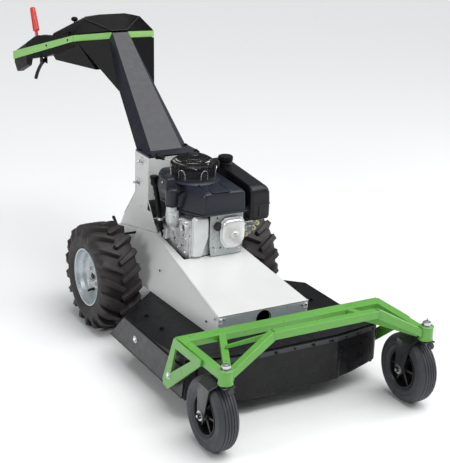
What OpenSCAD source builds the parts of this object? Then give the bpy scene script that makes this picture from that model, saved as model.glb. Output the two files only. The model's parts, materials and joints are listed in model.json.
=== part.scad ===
// Walk-behind brush mower with a vertical-shaft engine, a tall steering column and two front casters.
// Millimetres, +Z up, front of the machine towards -Y, origin on the ground under the middle of the machine.
// Lengths along Y are measured from the rear axle; axle_y moves the finished pieces to the origin.

/* [Drive wheels] */
// Outside diameter over the lugs of a drive tyre
tyre_d = 432; // [410:2:440]
// Width of a drive tyre
tyre_w = 176; // [160:2:180]
// Distance from the centre line to the middle of a drive tyre
wheel_x = 319; // [316:1:330]
// Number of lugs on each half of a drive tyre
lug_count = 18; // [12:1:20]

/* [Casters] */
// Outside diameter of a caster tyre
caster_d = 260; // [240:2:262]
// Width of a caster tyre
caster_w = 78; // [60:2:80]
// Distance from the centre line to a caster pivot
pivot_x = 407; // [400:1:415]
// Distance from the rear axle forward to the caster pivots
wheelbase = 1172; // [1165:1:1185]
// How far the caster axle trails behind its pivot
trail = 78; // [70:1:84]

/* [Deck] */
// Half width of the cutting deck
deck_x = 405; // [402:1:407]
// Height of the flat top of the deck
deck_z = 204; // [200:1:206]
// Thickness of the deck steel
deck_t = 4; // [3:1:5]
// Distance from the rear axle forward to the blade spindle
spindle_y = 565; // [560:1:570]
// Length of the rubber flap that hangs at the front
flap_h = 172; // [120:2:178]

/* [Cutter] */
// Radius at the knife tips
cut_r = 368; // [340:1:370]
// Pitch radius of the pulley on the blade spindle
spindle_pulley_r = 70; // [60:1:75]
// Pitch radius of the cutter pulley on the engine shaft
engine_pulley_r = 50; // [42:1:52]

/* [Engine] */
// Distance from the rear axle forward to the engine shaft
crank_y = 160; // [158:1:164]
// Height of the plate that carries the engine
plate_z = 352; // [348:1:354]
// Diameter over the rim of the starter drum on top of the engine
drum_d = 208; // [196:2:210]

/* [Handle] */
// Height of the handle strip at its front corners
strip_z = 1084; // [1080:1:1088]
// Half width of the console at the front corners of the handle strip
strip_x = 192; // [188:1:194]
// Half width over the rear ends of the handle
handle_end_x = 300; // [290:1:304]
// Distance from the rear axle back to the rear ends of the handle
handle_end_y = 1073; // [1060:1:1080]
// Height of the rear ends of the handle
handle_end_z = 938; // [930:1:945]

/* [Hidden] */
$fn = 64;
axle_y = 75;
wall = 3;
tyre_r = tyre_d / 2;
caster_r = caster_d / 2;
caster_y = -wheelbase;
green = "yellowgreen";
white = "whitesmoke";
steel = "silver";

// ---- helpers -------------------------------------------------------------

module both_sides() {
    children();
    mirror([1, 0, 0]) children();
}

module right_side() mirror([1, 0, 0]) children();

// Outline given as [y, z], thickened along X about x = at
module plate_yz(points, at, t) {
    translate([at - t / 2, 0, 0]) rotate([90, 0, 90]) linear_extrude(t) polygon(points);
}

// Convex block between a front ring and a rear ring of four corners each
module block8(p) {
    hull() polyhedron(points = p, faces = [
        [0, 1, 2], [0, 2, 3], [4, 6, 5], [4, 7, 6], [0, 4, 5], [0, 5, 1],
        [1, 5, 6], [1, 6, 2], [2, 6, 7], [2, 7, 3], [3, 7, 4], [3, 4, 0]]);
}

// Ring of corners symmetric in X: lower edge (x0, y0, z0), upper edge (x1, y1, z1)
function ring(x0, y0, z0, x1, y1, z1) =
    [[-x0, y0, z0], [x0, y0, z0], [x1, y1, z1], [-x1, y1, z1]];

module block_rings(a, b) block8(concat(a, b));

// Flat bar of width w between two points of the ground plane
module bar(a, b, w, z0, z1) {
    d = b - a;
    n = [-d[1], d[0]] * (w / 2 / norm(d));
    translate([0, 0, z0]) linear_extrude(z1 - z0) polygon([a + n, a - n, b - n, b + n]);
}

module rod(a, b, d) {
    v = b - a;
    translate(a)
        rotate([0, acos(v[2] / norm(v)), atan2(v[1], v[0])])
            cylinder(d = d, h = norm(v));
}

module hex(d, h) cylinder(d = d, h = h, $fn = 6);

// ---- deck ----------------------------------------------------------------

flap_y = 945;
deck_rear = 185;

function deck_half(t) = [
    [180 - t / 2, -deck_rear - t], [205 - t, -215 - t / 2], [deck_x - t, -400 - t / 2], [deck_x - t, -890 + t / 2],
    [375 - t, -915 + t], [190 - t / 4, -flap_y + t]];

function mirrored(p) = [for (i = [len(p) - 1:-1:0]) [-p[i][0], p[i][1]]];

module deck_block(t) {
    intersection() {
        translate([0, 0, 80 - t]) linear_extrude(200) polygon(concat(deck_half(t), mirrored(deck_half(t))));
        plate_yz([[-100, 60], [-100, deck_z - t], [-645, deck_z - t], [-flap_y, deck_z + 36 - t],
            [-flap_y - 20, deck_z + 36 - t], [-flap_y - 20, 60]], 0, 2 * deck_x + 10);
    }
}

module deck_shell() {
    color("#2b2c2e")
    difference() {
        deck_block(0);
        deck_block(deck_t);
        translate([-366, -flap_y - 30, 60]) cube([732, 90, deck_z - 40]);
        translate([0, -spindle_y, 0]) cylinder(d = 82, h = 400);
        both_sides() for (y = [-500, -820])
            translate([deck_x - 20, y, 150]) rotate([0, 90, 0]) cylinder(d = 9, h = 40);
    }
}

module side_skirts() {
    color("#5a5b5e")
    both_sides() difference() {
        plate_yz([[-273, 80], [-400, deck_z - 4], [-892, deck_z - 4], [-876, 80]], deck_x + 2, 4);
        for (y = [-500, -820])
            translate([deck_x - 20, y, 150]) rotate([0, 90, 0]) cylinder(d = 9, h = 40);
    }
}

// Strip that follows the front edge of the deck, lying between g0 and g1 in front of it
module front_band(g0, g1, z0, z1) {
    back = [[374, -916 - g0], [190, -flap_y - g0]];
    front = [[190, -flap_y - g1], [374, -916 - g1]];
    translate([0, 0, z0]) linear_extrude(z1 - z0)
        polygon(concat(back, mirrored(back), mirrored(front), front));
}

module front_flap() {
    color("#3b3c3f") front_band(1, 7, deck_z + 30 - flap_h, deck_z + 30);
}

module flap_strip() {
    color(steel) front_band(7, 10, deck_z + 12, deck_z + 28);
}

// ---- front frame ---------------------------------------------------------

tube_z0 = 282;
tube_z1 = 307;
frame_rear = -848;

module frame_rear_tube() {
    color(green)
    translate([0, frame_rear - 25, (tube_z0 + tube_z1) / 2]) difference() {
        cube([848, 50, tube_z1 - tube_z0], center = true);
        cube([860, 44, tube_z1 - tube_z0 - 2 * wall], center = true);
    }
}

// Lifted front bar between the two caster housings, with its short stays
module frame_arch() {
    bend = [213, -1134, 389];
    foot = [385, -1166, 300];
    color(green) {
        translate([-213, -1149, 372]) cube([426, 30, 34]);
        both_sides() {
            hull() {
                translate(bend) cube([1, 30, 34], center = true);
                translate(foot) cube([1, 30, 34], center = true);
            }
            hull() {
                translate([bend[0] - 4, -1122, 386]) cube([16, 6, 20], center = true);
                translate([308, -1004, 313]) cube([16, 6, 12], center = true);
            }
        }
    }
}

module frame_arm() {
    difference() {
        union() {
            bar([409, frame_rear - 50], [407, caster_y + 10], 30, tube_z0, tube_z1);
            bar([266, frame_rear - 50], [pivot_x - 18, caster_y + 18], 25, tube_z0, tube_z1);
            translate([pivot_x, caster_y, 272]) cylinder(d = 50, h = 52);
            plate_yz([[-852, 305], [-773, 119], [-782, 99], [-813, 94], [-1046, 284], [-1046, 305]], 428, 8);
        }
        translate([pivot_x, caster_y, 260]) cylinder(d = 26, h = 80);
        plate_yz([[-866, 272], [-980, 274], [-834, 166]], 428, 40);
        translate([400, -820, 150]) rotate([0, 90, 0]) cylinder(d = 9, h = 60);
        translate([200, frame_rear - 50, tube_z0 - 10]) cube([223.9, 60, 60]);
    }
    // spacer block between the bracket and the deck side
    difference() {
        translate([deck_x + 4, -820, 150]) rotate([0, 90, 0]) cylinder(d = 22, h = 424 - deck_x - 4);
        translate([deck_x, -820, 150]) rotate([0, 90, 0]) cylinder(d = 9, h = 60);
    }
}

module frame_arm_left() color(green) frame_arm();
module frame_arm_right() color(green) right_side() frame_arm();

// ---- bodywork ------------------------------------------------------------

hood_front = -735;
hood_z = 205;

module hood_block(t, drop) {
    front = ring(195 - t, hood_front + t, hood_z - drop, 191 - t, hood_front + t, 295 - t);
    middle = ring(213 - t, -105, hood_z - drop, 135 - t, -105, 402 - t);
    back = ring(213 - t, 240 - t, hood_z - drop, 150 - t, 240 - t, 335 - t);
    block_rings(front, middle);
    block_rings(middle, back);
}

module hood() {
    color(white)
    difference() {
        hood_block(0, 0);
        hood_block(wall, 20);
        translate([-122, -330, 300]) cube([244, 300, 140]);
        translate([-100, -32, 300]) cube([200, 140, 140]);
        translate([-240, side_pivot[1], side_pivot[2]]) rotate([0, 90, 0]) cylinder(d = 13, h = 140);
        translate([0, hood_front - 10, 0]) {
            translate([0, 0, 256]) rotate([-90, 0, 0]) cylinder(d = 56, h = 30);
            translate([-28, 0, 190]) cube([56, 30, 66]);
        }
        // arches for the axles, and the slope of the deck under the nose
        rotate([0, 90, 0]) translate([-tyre_r, 0, -240]) cylinder(d = 46, h = 480);
        translate([-240, -23, 190]) cube([480, 46, tyre_r - 190]);
        translate([0, 0, 0.3]) deck_block(0);
    }
}

// Tapered tower, its inside running past both open ends
module tower_block(t, past) {
    top = ring(116 - t, 4 + t, 683 + past, 116 - t, 130 - t, 683 + past);
    mid = ring(120 - t, 0 + t, 512, 120 - t, 119 - t, 512);
    low = ring(130 - t, -104 + t, 404, 130 - t, 205 - t, 392);
    foot = ring(132 - t, -104 + t, 403 - past, 132 - t, 238 - t, 337 - past);
    block_rings(foot, low);
    block_rings(low, mid);
    block_rings(mid, top);
}

module tower() {
    color(white)
    difference() {
        tower_block(0, 0);
        tower_block(wall, 0.5);
        translate([-124, -300, 300]) cube([248, 299, 220]);
        for (p = [[70, 655], [95, 560]])
            translate([-160, p[0], p[1]]) rotate([0, 90, 0]) cylinder(d = 11, h = 320);
    }
}

// Tapered column; past lengthens it along its own edges, as a share of its length
module column_block(t, past) {
    low = [[-72 + t, 78 + t, 690], [72 - t, 78 + t, 690], [112 - t, 128 - t, 690], [-112 + t, 128 - t, 690]];
    high = [[-37 + t, 540 + t, 1097], [37 - t, 540 + t, 1097], [56 - t, 604 - t, 1080], [-56 + t, 604 - t, 1080]];
    reach = (high - low) * past;
    block8(concat(low - reach, high + reach));
}

module column() {
    color("#3a3c42") {
        difference() {
            column_block(0, 0);
            column_block(wall, 0.01);
        }
        difference() {
            translate([-116, 4, 683]) cube([232, 126, 7]);
            column_block(wall, 0.02);
        }
    }
}

// ---- console and handle --------------------------------------------------

// Lower half of the console: belly and the two wings that run down to the column
module belly(t) {
    front = [[-36 + t / 3, 551 + t, 1072 - t], [36 - t / 3, 551 + t, 1072 - t],
        [184 - t, 582 + t, strip_z - 26 - t], [-184 + t, 582 + t, strip_z - 26 - t]];
    low = [[-112 + t, 545 + t, 940 + t], [112 - t, 545 + t, 940 + t],
        [204 - t, 782 - t, 945 + t], [-204 + t, 782 - t, 945 + t]];
    back = [[-226 + t, 812 - t, 1000], [226 - t, 812 - t, 1000],
        [220 - t, 810 - t, 1022], [-220 + t, 810 - t, 1022]];
    hull() {
        block8(concat(front, low));
        block8(concat(low, back));
    }
}

module console_tray() {
    color("#232428")
    difference() {
        union() {
            difference() {
                belly(0);
                translate([0, 0, 4]) belly(wall);
            }
            both_sides() hull() {
                translate([38, 549, 1072]) cube([4, 4, 2], center = true);
                translate([180, 580, 1056]) cube([4, 4, 2], center = true);
                translate([66, 338, 856]) cube([4, 4, 2], center = true);
            }
        }
        column_block(-0.3, 0.02);
    }
}

throttle_x = -126;
throttle_z = 1060;

module cover_block(t) {
    hull() {
        block8(concat(
            ring(36 - t / 3, 551 + t, 1082, 36 - t / 3, 551 + t, 1106 - t),
            ring(190 - t, 607 + t, 1062, 190 - t, 607 + t, 1088 - t)));
        block8(concat(
            ring(190 - t, 607 + t, 1062, 134 - t, 627 + t, 1147 - t),
            ring(222 - t, 812 - t, 1028, 205 - t, 800 - t, 1062 - t)));
        // arched top edge of the front panel, and the top behind it
        for (p = [[60, 1164], [100, 1156]])
            translate([-p[0], 627 + t, 1080]) cube([2 * p[0], 1, p[1] - t - 1080]);
        translate([-90 + t, 670, 1080]) cube([180 - 2 * t, 40, 64 - t]);
    }
}

module console_cover() {
    color("#1c1d20")
    difference() {
        cover_block(0);
        translate([0, 2, -6]) cover_block(wall);
        column_block(-0.3, 0.02);
        translate([throttle_x - 6, 741, 1040]) cube([12, 52, 140]);
    }
    // lugs and pin under the cover that carry the throttle lever
    color("#1c1d20") {
        intersection() {
            for (x = [-10, 7]) translate([throttle_x + x, 742, throttle_z - 9]) cube([3, 16, 80]);
            cover_block(1);
        }
        translate([throttle_x - 10, 750, throttle_z]) rotate([0, 90, 0]) cylinder(d = 6, h = 20);
    }
}

// Centre line of a handle arm, f = 0 at the console corner and 1 at the rear end
function arm_at(f) = [strip_x + (handle_end_x - strip_x) * f, 605 + (handle_end_y - 605) * f,
    strip_z + (handle_end_z - strip_z) * f];

strip_turn = atan2(handle_end_x - strip_x, handle_end_y - 605);

module arm_section(f, x0, x1, z0, z1) {
    p = arm_at(f);
    translate([p[0] + x0, p[1], p[2] + z0]) cube([x1 - x0, 1, z1 - z0]);
}

module handle_arm() {
    difference() {
        union() {
            hull() {
                arm_section(0.02, -40, -6.4, -50, -2);
                arm_section(0.42, -40, -6.4, -62, -2);
            }
            hull() {
                arm_section(0.42, -40, -6.4, -62, -2);
                arm_section(grip_f - 0.005, -40, -6.4, -53, -4);
            }
            for (x = [-12, 8.5]) translate(drive_pivot + [x, -22, -10]) cube([3.5, 34, 40]);
            // raised fairing round the clutch lever's slot
            hull() {
                arm_section(0.35, -38, -7, -20, 22);
                arm_section(0.56, -38, -7, -20, 42);
                arm_section(0.64, -38, -7, -20, 42);
                arm_section(grip_f - 0.005, -38, -7, -20, 24);
            }
            hull() {
                arm_section(0.10, -38, -7, -20, 22);
                arm_section(0.35, -38, -7, -20, 22);
            }
        }
        translate(clutch_pivot + [-6, -56, -14]) cube([12, 106, 110]);
    }
    // pins of the two levers
    translate(clutch_pivot) rotate([0, 90, 0]) cylinder(d = 8, h = 26, center = true);
    translate(drive_pivot) rotate([0, 90, 0]) cylinder(d = 8, h = 26, center = true);
}

grip_f = 0.79;    // where the end grips start
clutch_pivot = arm_at(0.63) + [-22, 0, -32];
drive_pivot = arm_at(0.56) + [-22, 0, -74];

module handle_arms() color("#232428") both_sides() handle_arm();

module trim_side() {
    hull() {
        arm_section(0, -6, 0, -26, 0);
        arm_section(0.5, -6, 0, -32, 0);
        arm_section(0.997, -6, 0, -37, 0);
    }
}

module trim_front() {
    hull() {
        translate([40, 543, strip_z - 12]) cube([1, 6, 26]);
        translate([strip_x - 7, 599, strip_z - 26]) cube([7, 6, 26]);
    }
}

module console_trim() {
    color(green) {
        both_sides() trim_side();
        difference() {
            both_sides() trim_front();
            column_block(-0.3, 0.02);
        }
    }
}

// Grip that closes the rear end of an arm and drops below it
module handle_grips() {
    color("#1a1a1c") both_sides() hull() {
        arm_section(grip_f, -38, -6.4, -50, 22);
        arm_section(0.997, -38, -6.4, -50, -3);
        translate(arm_at(0.823) + [-24, 0, -66]) rotate([0, 90, 0]) cylinder(d = 30, h = 26, center = true);
        translate(arm_at(0.962) + [-24, 0, -80]) rotate([0, 90, 0]) cylinder(d = 34, h = 26, center = true);
    }
}

// ---- chassis -------------------------------------------------------------

module engine_plate() {
    color("#4a4b4e")
    difference() {
        translate([-125, -320, plate_z - 8]) cube([250, 320, 8]);
        translate([0, -crank_y, plate_z - 20]) cylinder(d = 60, h = 40);
        for (x = [-85, 85], y = [-235, -85])
            translate([x, y, plate_z - 20]) cylinder(d = 9, h = 40);
    }
}

rail_z = 252;

module chassis_rails() {
    color("#4a4b4e") {
        both_sides() difference() {
            union() {
                translate([128, -560, rail_z]) cube([36, 700, 30]);
                translate([118, -320, rail_z]) cube([10, 320, plate_z - 8 - rail_z]);
                translate([128, -560, deck_z]) cube([36, 40, rail_z - deck_z]);
                translate([128, -240, deck_z]) cube([36, 40, rail_z - deck_z]);
            }
            translate([131, -570, rail_z + 3]) cube([30, 720, 24]);
        }
        // stud that the idler arm turns on
        translate([-104, -460, deck_z]) cylinder(d = 12, h = cut_z + 24 - deck_z);
        translate([-104, -460, deck_z]) cylinder(d = 26, h = cut_z + 12 - deck_z);
    }
}

module gearbox() {
    color("#8b8d90")
    difference() {
        union() {
            translate([-75, -70, tyre_r - 65]) cube([150, 160, 130]);
            rotate([0, 90, 0]) translate([-tyre_r, 0, -185]) cylinder(d = 70, h = 370);
            translate([0, 60, tyre_r + 40]) cylinder(d = 60, h = 40);
        }
        rotate([0, 90, 0]) translate([-tyre_r, 0, -200]) cylinder(d = 30.1, h = 400);
        translate([0, 60, tyre_r + 20]) cylinder(d = 20.1, h = 80);
        translate([-60, -55, tyre_r - 50]) cube([120, 130, 100]);
    }
}

module spindle_housing() {
    color("#6f7174")
    translate([0, -spindle_y, 0]) difference() {
        union() {
            translate([0, 0, deck_z]) cylinder(d = 150, h = 8);
            translate([0, 0, deck_z - 50]) cylinder(d = 76, h = 74);
        }
        translate([0, 0, 100]) cylinder(d = 30.1, h = 200);
        for (a = [45:90:359]) rotate(a) translate([58, 0, deck_z - 10]) cylinder(d = 9, h = 30);
    }
}

// ---- cutter --------------------------------------------------------------

cut_z = 262;      // height of the middle of the cutter belt
drive_z = 316;    // height of the middle of the traction belt
knife_pivot = cut_r - 78;

module spindle() {
    color(steel) translate([0, -spindle_y, 0]) {
        translate([0, 0, 118]) cylinder(d = 30, h = cut_z + 14 - 118);
        translate([0, 0, 112]) cylinder(d = 60, h = 6);
    }
}

module v_pulley(r, h, bore) {
    difference() {
        cylinder(r = r + 7, h = h, center = true);
        rotate_extrude() polygon([[r - 6, -2.5], [r - 6, 2.5], [r + 8, 7], [r + 8, -7]]);
        cylinder(d = bore, h = h + 2, center = true);
    }
}

module spindle_pulley() {
    color("#77797c") translate([0, -spindle_y, cut_z]) {
        v_pulley(spindle_pulley_r, 20, 30);
    }
}

module blade_carrier() {
    color("#36373a") translate([0, -spindle_y, 0]) difference() {
        union() {
            translate([-35, -knife_pivot - 22, 102]) cube([70, 2 * knife_pivot + 44, 10]);
            translate([0, 0, 102]) cylinder(d = 110, h = 10);
        }
        for (s = [-1, 1]) translate([0, s * knife_pivot, 90]) cylinder(d = 15.1, h = 40);
    }
}

// Swinging knife that hangs under the carrier on its own bolt
module knife() {
    translate([0, -knife_pivot, 0]) {
        difference() {
            translate([0, 0, 92]) linear_extrude(6)
                polygon([[-25, 24], [25, 24], [27, -68], [18, -76], [-18, -76], [-27, -68]]);
            translate([0, 0, 80]) cylinder(d = 15, h = 30);
        }
        translate([0, 0, 90]) cylinder(d = 15, h = 34);
        translate([0, 0, 84]) cylinder(d = 26, h = 8);
        translate([0, 0, 112.3]) cylinder(d = 26, h = 10);
    }
}

module knife_a() color(steel) translate([0, -spindle_y, 0]) knife();
module knife_b() color(steel) translate([0, -spindle_y, 0]) rotate(180) knife();

// Outline of a belt round two pulleys on a line along Y, y1 being behind y0
function arc(y, r, from, to) =
    [for (i = [0:20]) let (a = from + (to - from) * i / 20) [r * cos(a), y + r * sin(a)]];

function belt_outline(y0, r0, y1, r1) =
    let (a = asin((r0 - r1) / (y1 - y0)))
    concat(arc(y1, r1, a, 180 - a), arc(y0, r0, 180 - a, 360 + a));

module belt(y0, r0, y1, r1, z) {
    translate([0, 0, z - 3]) linear_extrude(6) difference() {
        polygon(belt_outline(y0, r0 + 5, y1, r1 + 5));
        polygon(belt_outline(y0, r0 - 3, y1, r1 - 3));
    }
}

traction_y = 60;

module drive_belts() {
    color("#202022") {
        belt(-spindle_y, spindle_pulley_r, -crank_y, engine_pulley_r, cut_z);
        belt(-crank_y, 36, traction_y, 50, drive_z);
    }
}

module traction_pulley() {
    color("#77797c") translate([0, traction_y, 0]) {
        translate([0, 0, drive_z]) v_pulley(50, 20, 20);
        translate([0, 0, tyre_r + 30]) cylinder(d = 20, h = drive_z + 10 - tyre_r - 30);
    }
}

// Pivoted arm with the roller that tightens the cutter belt
module idler_arm() {
    color("#8b8d90") {
        difference() {
            bar([-104, -470], [-98, -330], 30, cut_z + 13, cut_z + 19);
            translate([-104, -460, cut_z]) cylinder(d = 12.1, h = 40);
        }
        translate([-100, -345, cut_z - 10]) cylinder(d = 44, h = 20);
        translate([-100, -345, cut_z + 10]) cylinder(d = 12, h = 12);
    }
}

// ---- engine --------------------------------------------------------------

module crankcase() {
    color("#b9bbbe")
    difference() {
        union() {
            translate([-100, -282, plate_z]) cube([200, 246, 36]);
            translate([0, -crank_y, plate_z]) cylinder(d = 236, h = 130);
            translate([-102, -318, plate_z + 20]) cube([112, 168, 140]);
            translate([-102, -290, 479]) rotate([0, -90, 0]) cylinder(d = 54, h = 12);
            translate([-94, -196, plate_z + 90]) cylinder(d = 52, h = 84);
            translate([0, -crank_y, plate_z + 130]) cylinder(d = 190, h = 40);
        }
        translate([0, -crank_y, plate_z - 10]) cylinder(d = 30.1, h = 300);
        translate([-120, -290, 479]) rotate([0, 90, 0]) cylinder(d = 26, h = 12);
        translate([0, -crank_y, plate_z + 12]) cylinder(d = 150, h = 100);
    }
}

module cylinder_head() {
    color("#a9abae") {
        translate([-98, -326, plate_z + 12]) cube([86, 7.7, 152]);
        for (i = [0:5]) translate([-12, -326, plate_z + 18 + i * 25]) cube([16, 7.7, 13]);
    }
}

module head_cover() {
    color("#d4d6d8")
    rotate([90, 0, 0]) hull() {
        translate([0, 0, 326.3]) linear_extrude(5)
            polygon([[-96, 366], [-53, 366], [-21, 440], [-21, 518], [-30, 530], [-96, 530]]);
        translate([0, 0, 343]) linear_extrude(1)
            polygon([[-89, 374], [-57, 374], [-28, 442], [-28, 512], [-36, 522], [-89, 522]]);
    }
}

// Cover over the flywheel, its front right corner cut off
module blower_block(t) {
    low = [[-104 + t, -366 + t, 538], [134 - t, -366 + t, 538], [134 - t, -8 - t, 528], [-104 + t, -8 - t, 528]];
    high = [[-78 + t, -366 + t, 630 - t], [130 - t, -366 + t, 626 - t],
        [118 - t, -20 - t, 648 - t], [-96 + t, -20 - t, 648 - t]];
    intersection() {
        block8(concat(low, high));
        translate([0, 0, 520]) linear_extrude(140)
            polygon([[-60 + t / 2, -366 + t], [140, -366 + t], [140, 0], [-104 + t, 0], [-104 + t, -265 + t / 2]]);
    }
}

module blower_housing() {
    color("#34363d")
    difference() {
        union() {
            blower_block(0);
            translate([0, -crank_y, 600]) cylinder(d = drum_d - 32, h = 50);
        }
        translate([0, 0, -3]) blower_block(3);
        translate([0, -crank_y, 590]) cylinder(d = drum_d - 40, h = 80);
    }
}

module recoil_cover() {
    color("#26272a")
    translate([0, -crank_y, 0]) difference() {
        union() {
            translate([0, 0, 650]) cylinder(d = drum_d - 40, h = 34);
            translate([0, 0, 682]) cylinder(d = drum_d, h = 14);
            translate([0, 0, 696]) cylinder(d1 = drum_d, d2 = drum_d - 84, h = 28);
            translate([0, 0, 724]) cylinder(d1 = drum_d - 84, d2 = drum_d - 154, h = 12);
        }
        translate([0, 0, 640]) cylinder(d = drum_d - 50, h = 55);
        translate([0, 0, 694.9]) cylinder(d1 = drum_d - 50, d2 = drum_d - 106, h = 24);
        for (a = [10:30:359]) rotate(a) translate([80, 0, 666]) cube([30, 22, 26], center = true);
        rod(rope_out - rope_dir * 20, rope_out + rope_dir * 40, 14);
    }
}

rope_out = [-62, 64, 692];
rope_dir = [-0.66, 0.72, 0.214];

// Starter handle with the rope that it draws out of the drum
module starter_grip() {
    color("#2c2d30") translate([0, -crank_y, 0]) {
        rod(rope_out + rope_dir * 34, rope_out + rope_dir * 60, 16);
        rod(rope_out + rope_dir * 56, rope_out + rope_dir * 72, 27);
    }
    color("white") translate([0, -crank_y, 0]) rod(rope_out - rope_dir * 110, rope_out + rope_dir * 36, 5);
}

module fuel_tank() {
    tank_low = [[152, -366, 497], [232, -366, 497], [236, -20, 505], [152, -20, 505]];
    tank_mid = [[150, -370, 508], [238, -370, 508], [242, -10, 518], [150, -10, 518]];
    tank_shoulder = [[150, -370, 612], [236, -370, 610], [238, -10, 632], [150, -10, 632]];
    tank_top = [[156, -352, 634], [222, -352, 626], [214, -60, 666], [142, -60, 676]];
    color("#1d1e20")
    difference() {
        union() {
            block8(concat(tank_low, tank_mid));
            block8(concat(tank_mid, tank_shoulder));
            block8(concat(tank_shoulder, tank_top));
            translate([166, -125, 656]) cylinder(d = 52, h = 20);
        }
        translate([166, -125, 600]) cylinder(d = 36, h = 100);
        translate([156, -330, 514]) cube([74, 300, 92]);
    }
    // strap that ties the tank to the blower housing
    color("#1d1e20") translate([134.3, -300, 560]) cube([15.7, 200, 30]);
}

module fuel_cap() {
    color("#2a2b2d") translate([166, -125, 0]) {
        translate([0, 0, 676.4]) cylinder(d = 60, h = 24);
        translate([0, 0, 664]) cylinder(d = 35.9, h = 12.5);
        for (a = [0:30:359]) rotate(a) translate([29, 0, 678]) cylinder(d = 6, h = 20);
    }
}

module oil_tube() {
    color("#1b1b1d") {
        rod([-108, -142, 396], [-134, -142, 444], 18);
        translate([-134, -142, 444]) sphere(d = 25);
        rod([-134, -142, 444], [-134, -136, 500], 20);
        translate([-134, -136, 500]) sphere(d = 25);
        rod([-134, -136, 500], [-134, -90, 604], 20);
        translate([-134, -82, 600]) cylinder(d = 29, h = 28);
        translate([-134, -82, 628]) cylinder(d1 = 29, d2 = 36, h = 10);
    }
}

module muffler() {
    color("#cfd1d3") translate([76, -372, 457]) {
        hull() for (s = [-1, 1]) {
            translate([s * 38, 0, 47]) rotate([-90, 0, 0]) cylinder(d = 32, h = 24, $fn = 32);
            translate([s * 26, 0, -35]) rotate([-90, 0, 0]) cylinder(d = 56, h = 24, $fn = 32);
        }
        rotate([90, 0, 0]) cylinder(d = 22, h = 5);
        translate([-24, 24, -30]) cube([56, 60, 66]);
    }
}

module heat_shield() {
    color("#aeb2b4")
    difference() {
        translate([-18, -346, plate_z + 14]) cube([147, 4, 180]);
        translate([50, -350, 424]) cube([62, 12, 88]);
        for (p = [[-2, 400], [-2, 470], [124, 392]])
            translate([p[0], -350, p[1]]) rotate([-90, 0, 0]) cylinder(d = 7, h = 20);
    }
}

module carburettor() {
    color("#55575a") {
        translate([150, -330, 436]) cube([46, 60, 50]);
        translate([173, -300, 421]) cylinder(d = 34, h = 16);
        translate([165, -310, 486]) cylinder(d = 10, h = 8);
        rod([103, -262, 464], [170, -300, 464], 26);
    }
}

module starter_motor() {
    color("#1f2023") {
        translate([-131, -232, 552]) cylinder(d = 50, h = 76);
        translate([-150, -222, 618]) cube([45, 72, 44]);
    }
}

module crankshaft() {
    color(steel) translate([0, -crank_y, 0]) {
        translate([0, 0, 244]) cylinder(d = 30, h = 390);
        translate([0, 0, cut_z]) v_pulley(engine_pulley_r, 20, 30);
        translate([0, 0, drive_z]) v_pulley(36, 20, 30);
    }
}

module flywheel() {
    color("#9a9c9f") translate([0, -crank_y, 0]) difference() {
        union() {
            translate([0, 0, 560]) cylinder(d = 180, h = 26);
            for (a = [0:30:359]) rotate(a) translate([46, -2, 586]) cube([38, 4, 30]);
        }
        translate([0, 0, 550]) cylinder(d = 30, h = 60);
    }
}

// ---- cables and fasteners ------------------------------------------------

// Sheathed cables inside the column, from the levers down to the clutch, gearbox and carburettor
module control_cables() {
    color("#18181a") for (x = [-18, 0, 18]) {
        rod([x, 90, 540], [x, 103, 690], 7);
        rod([x, 103, 690], [x * 0.8, 574, 1091], 7);
        translate([x, 103, 690]) sphere(d = 7);
        translate([x * 0.8, 574, 1091]) sphere(d = 7);
        rod([x * 0.8, 574, 1091], [x * 2.4, 700, 1090], 7);
    }
}

module side_bolt(x, y, z, d) {
    translate([x, y, z]) rotate([0, 90, 0]) hex(d, 6);
}

module bolts() {
    color("#b0b2b4") {
        both_sides() {
            side_bolt(deck_x + 4, -500, 150, 15);
            side_bolt(432, -820, 150, 15);
            side_bolt(120, 70, 655, 17);
            side_bolt(120, 95, 560, 17);
            for (f = [0.09, 0.43]) translate(arm_at(f) + [0, 0, -14]) rotate([0, 90, -strip_turn]) hex(9, 3);
            translate([168, hood_front - 3, 280]) rotate([-90, 0, 0]) cylinder(d = 9, h = 3);
            for (x = [80, 160]) translate([x, -flap_y - 16, deck_z + 20]) rotate([-90, 0, 0]) hex(12, 6);
        }
        for (x = [-85, 85], y = [-235, -85]) translate([x, y, plate_z - 14]) hex(15, 6);
        for (a = [45:90:359]) translate([0, -spindle_y, deck_z + 8]) rotate(a) translate([58, 0, 0]) hex(14, 6);
    }
}

// ---- casters -------------------------------------------------------------

wheel_gap = caster_w / 2 + 7;

// Swivelling fork with its stem, top nut and wheel axle
module caster_fork() {
    translate([pivot_x, caster_y, 0]) {
        translate([0, 0, 262]) cylinder(d = 25.9, h = 62);
        translate([0, 0, 324.4]) cylinder(d = 34, h = 3);
        translate([0, 0, 327.4]) hex(27, 12);
        translate([0, 0, 339]) cylinder(d1 = 8, d2 = 5, h = 12);
        translate([-22, -26, 264]) cube([44, 112, 5]);
        translate([0, -26, 258]) rotate([90, 0, 0]) hex(24, 12);
        for (s = [-1, 1]) {
            hull() {
                translate([s * 22 - 2, 8, 264]) cube([4, 78, 5]);
                translate([s * wheel_gap - 2, 22, 244]) cube([4, 76, 3]);
            }
            difference() {
                plate_yz([[22, 247], [98, 247], [trail + 20, caster_r - 14], [trail - 20, caster_r - 14]],
                    s * wheel_gap, 4);
                translate([0, trail, caster_r]) rotate([0, 90, 0]) cylinder(d = 12, h = 200, center = true);
            }
        }
        translate([0, trail, caster_r]) rotate([0, 90, 0]) {
            cylinder(d = 12, h = 2 * wheel_gap + 24, center = true);
            for (s = [-1, 1]) translate([0, 0, s * (wheel_gap + 6)]) cylinder(d = 21, h = 8, center = true);
        }
    }
}

caster_rim_r = caster_r * 0.57;

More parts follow.
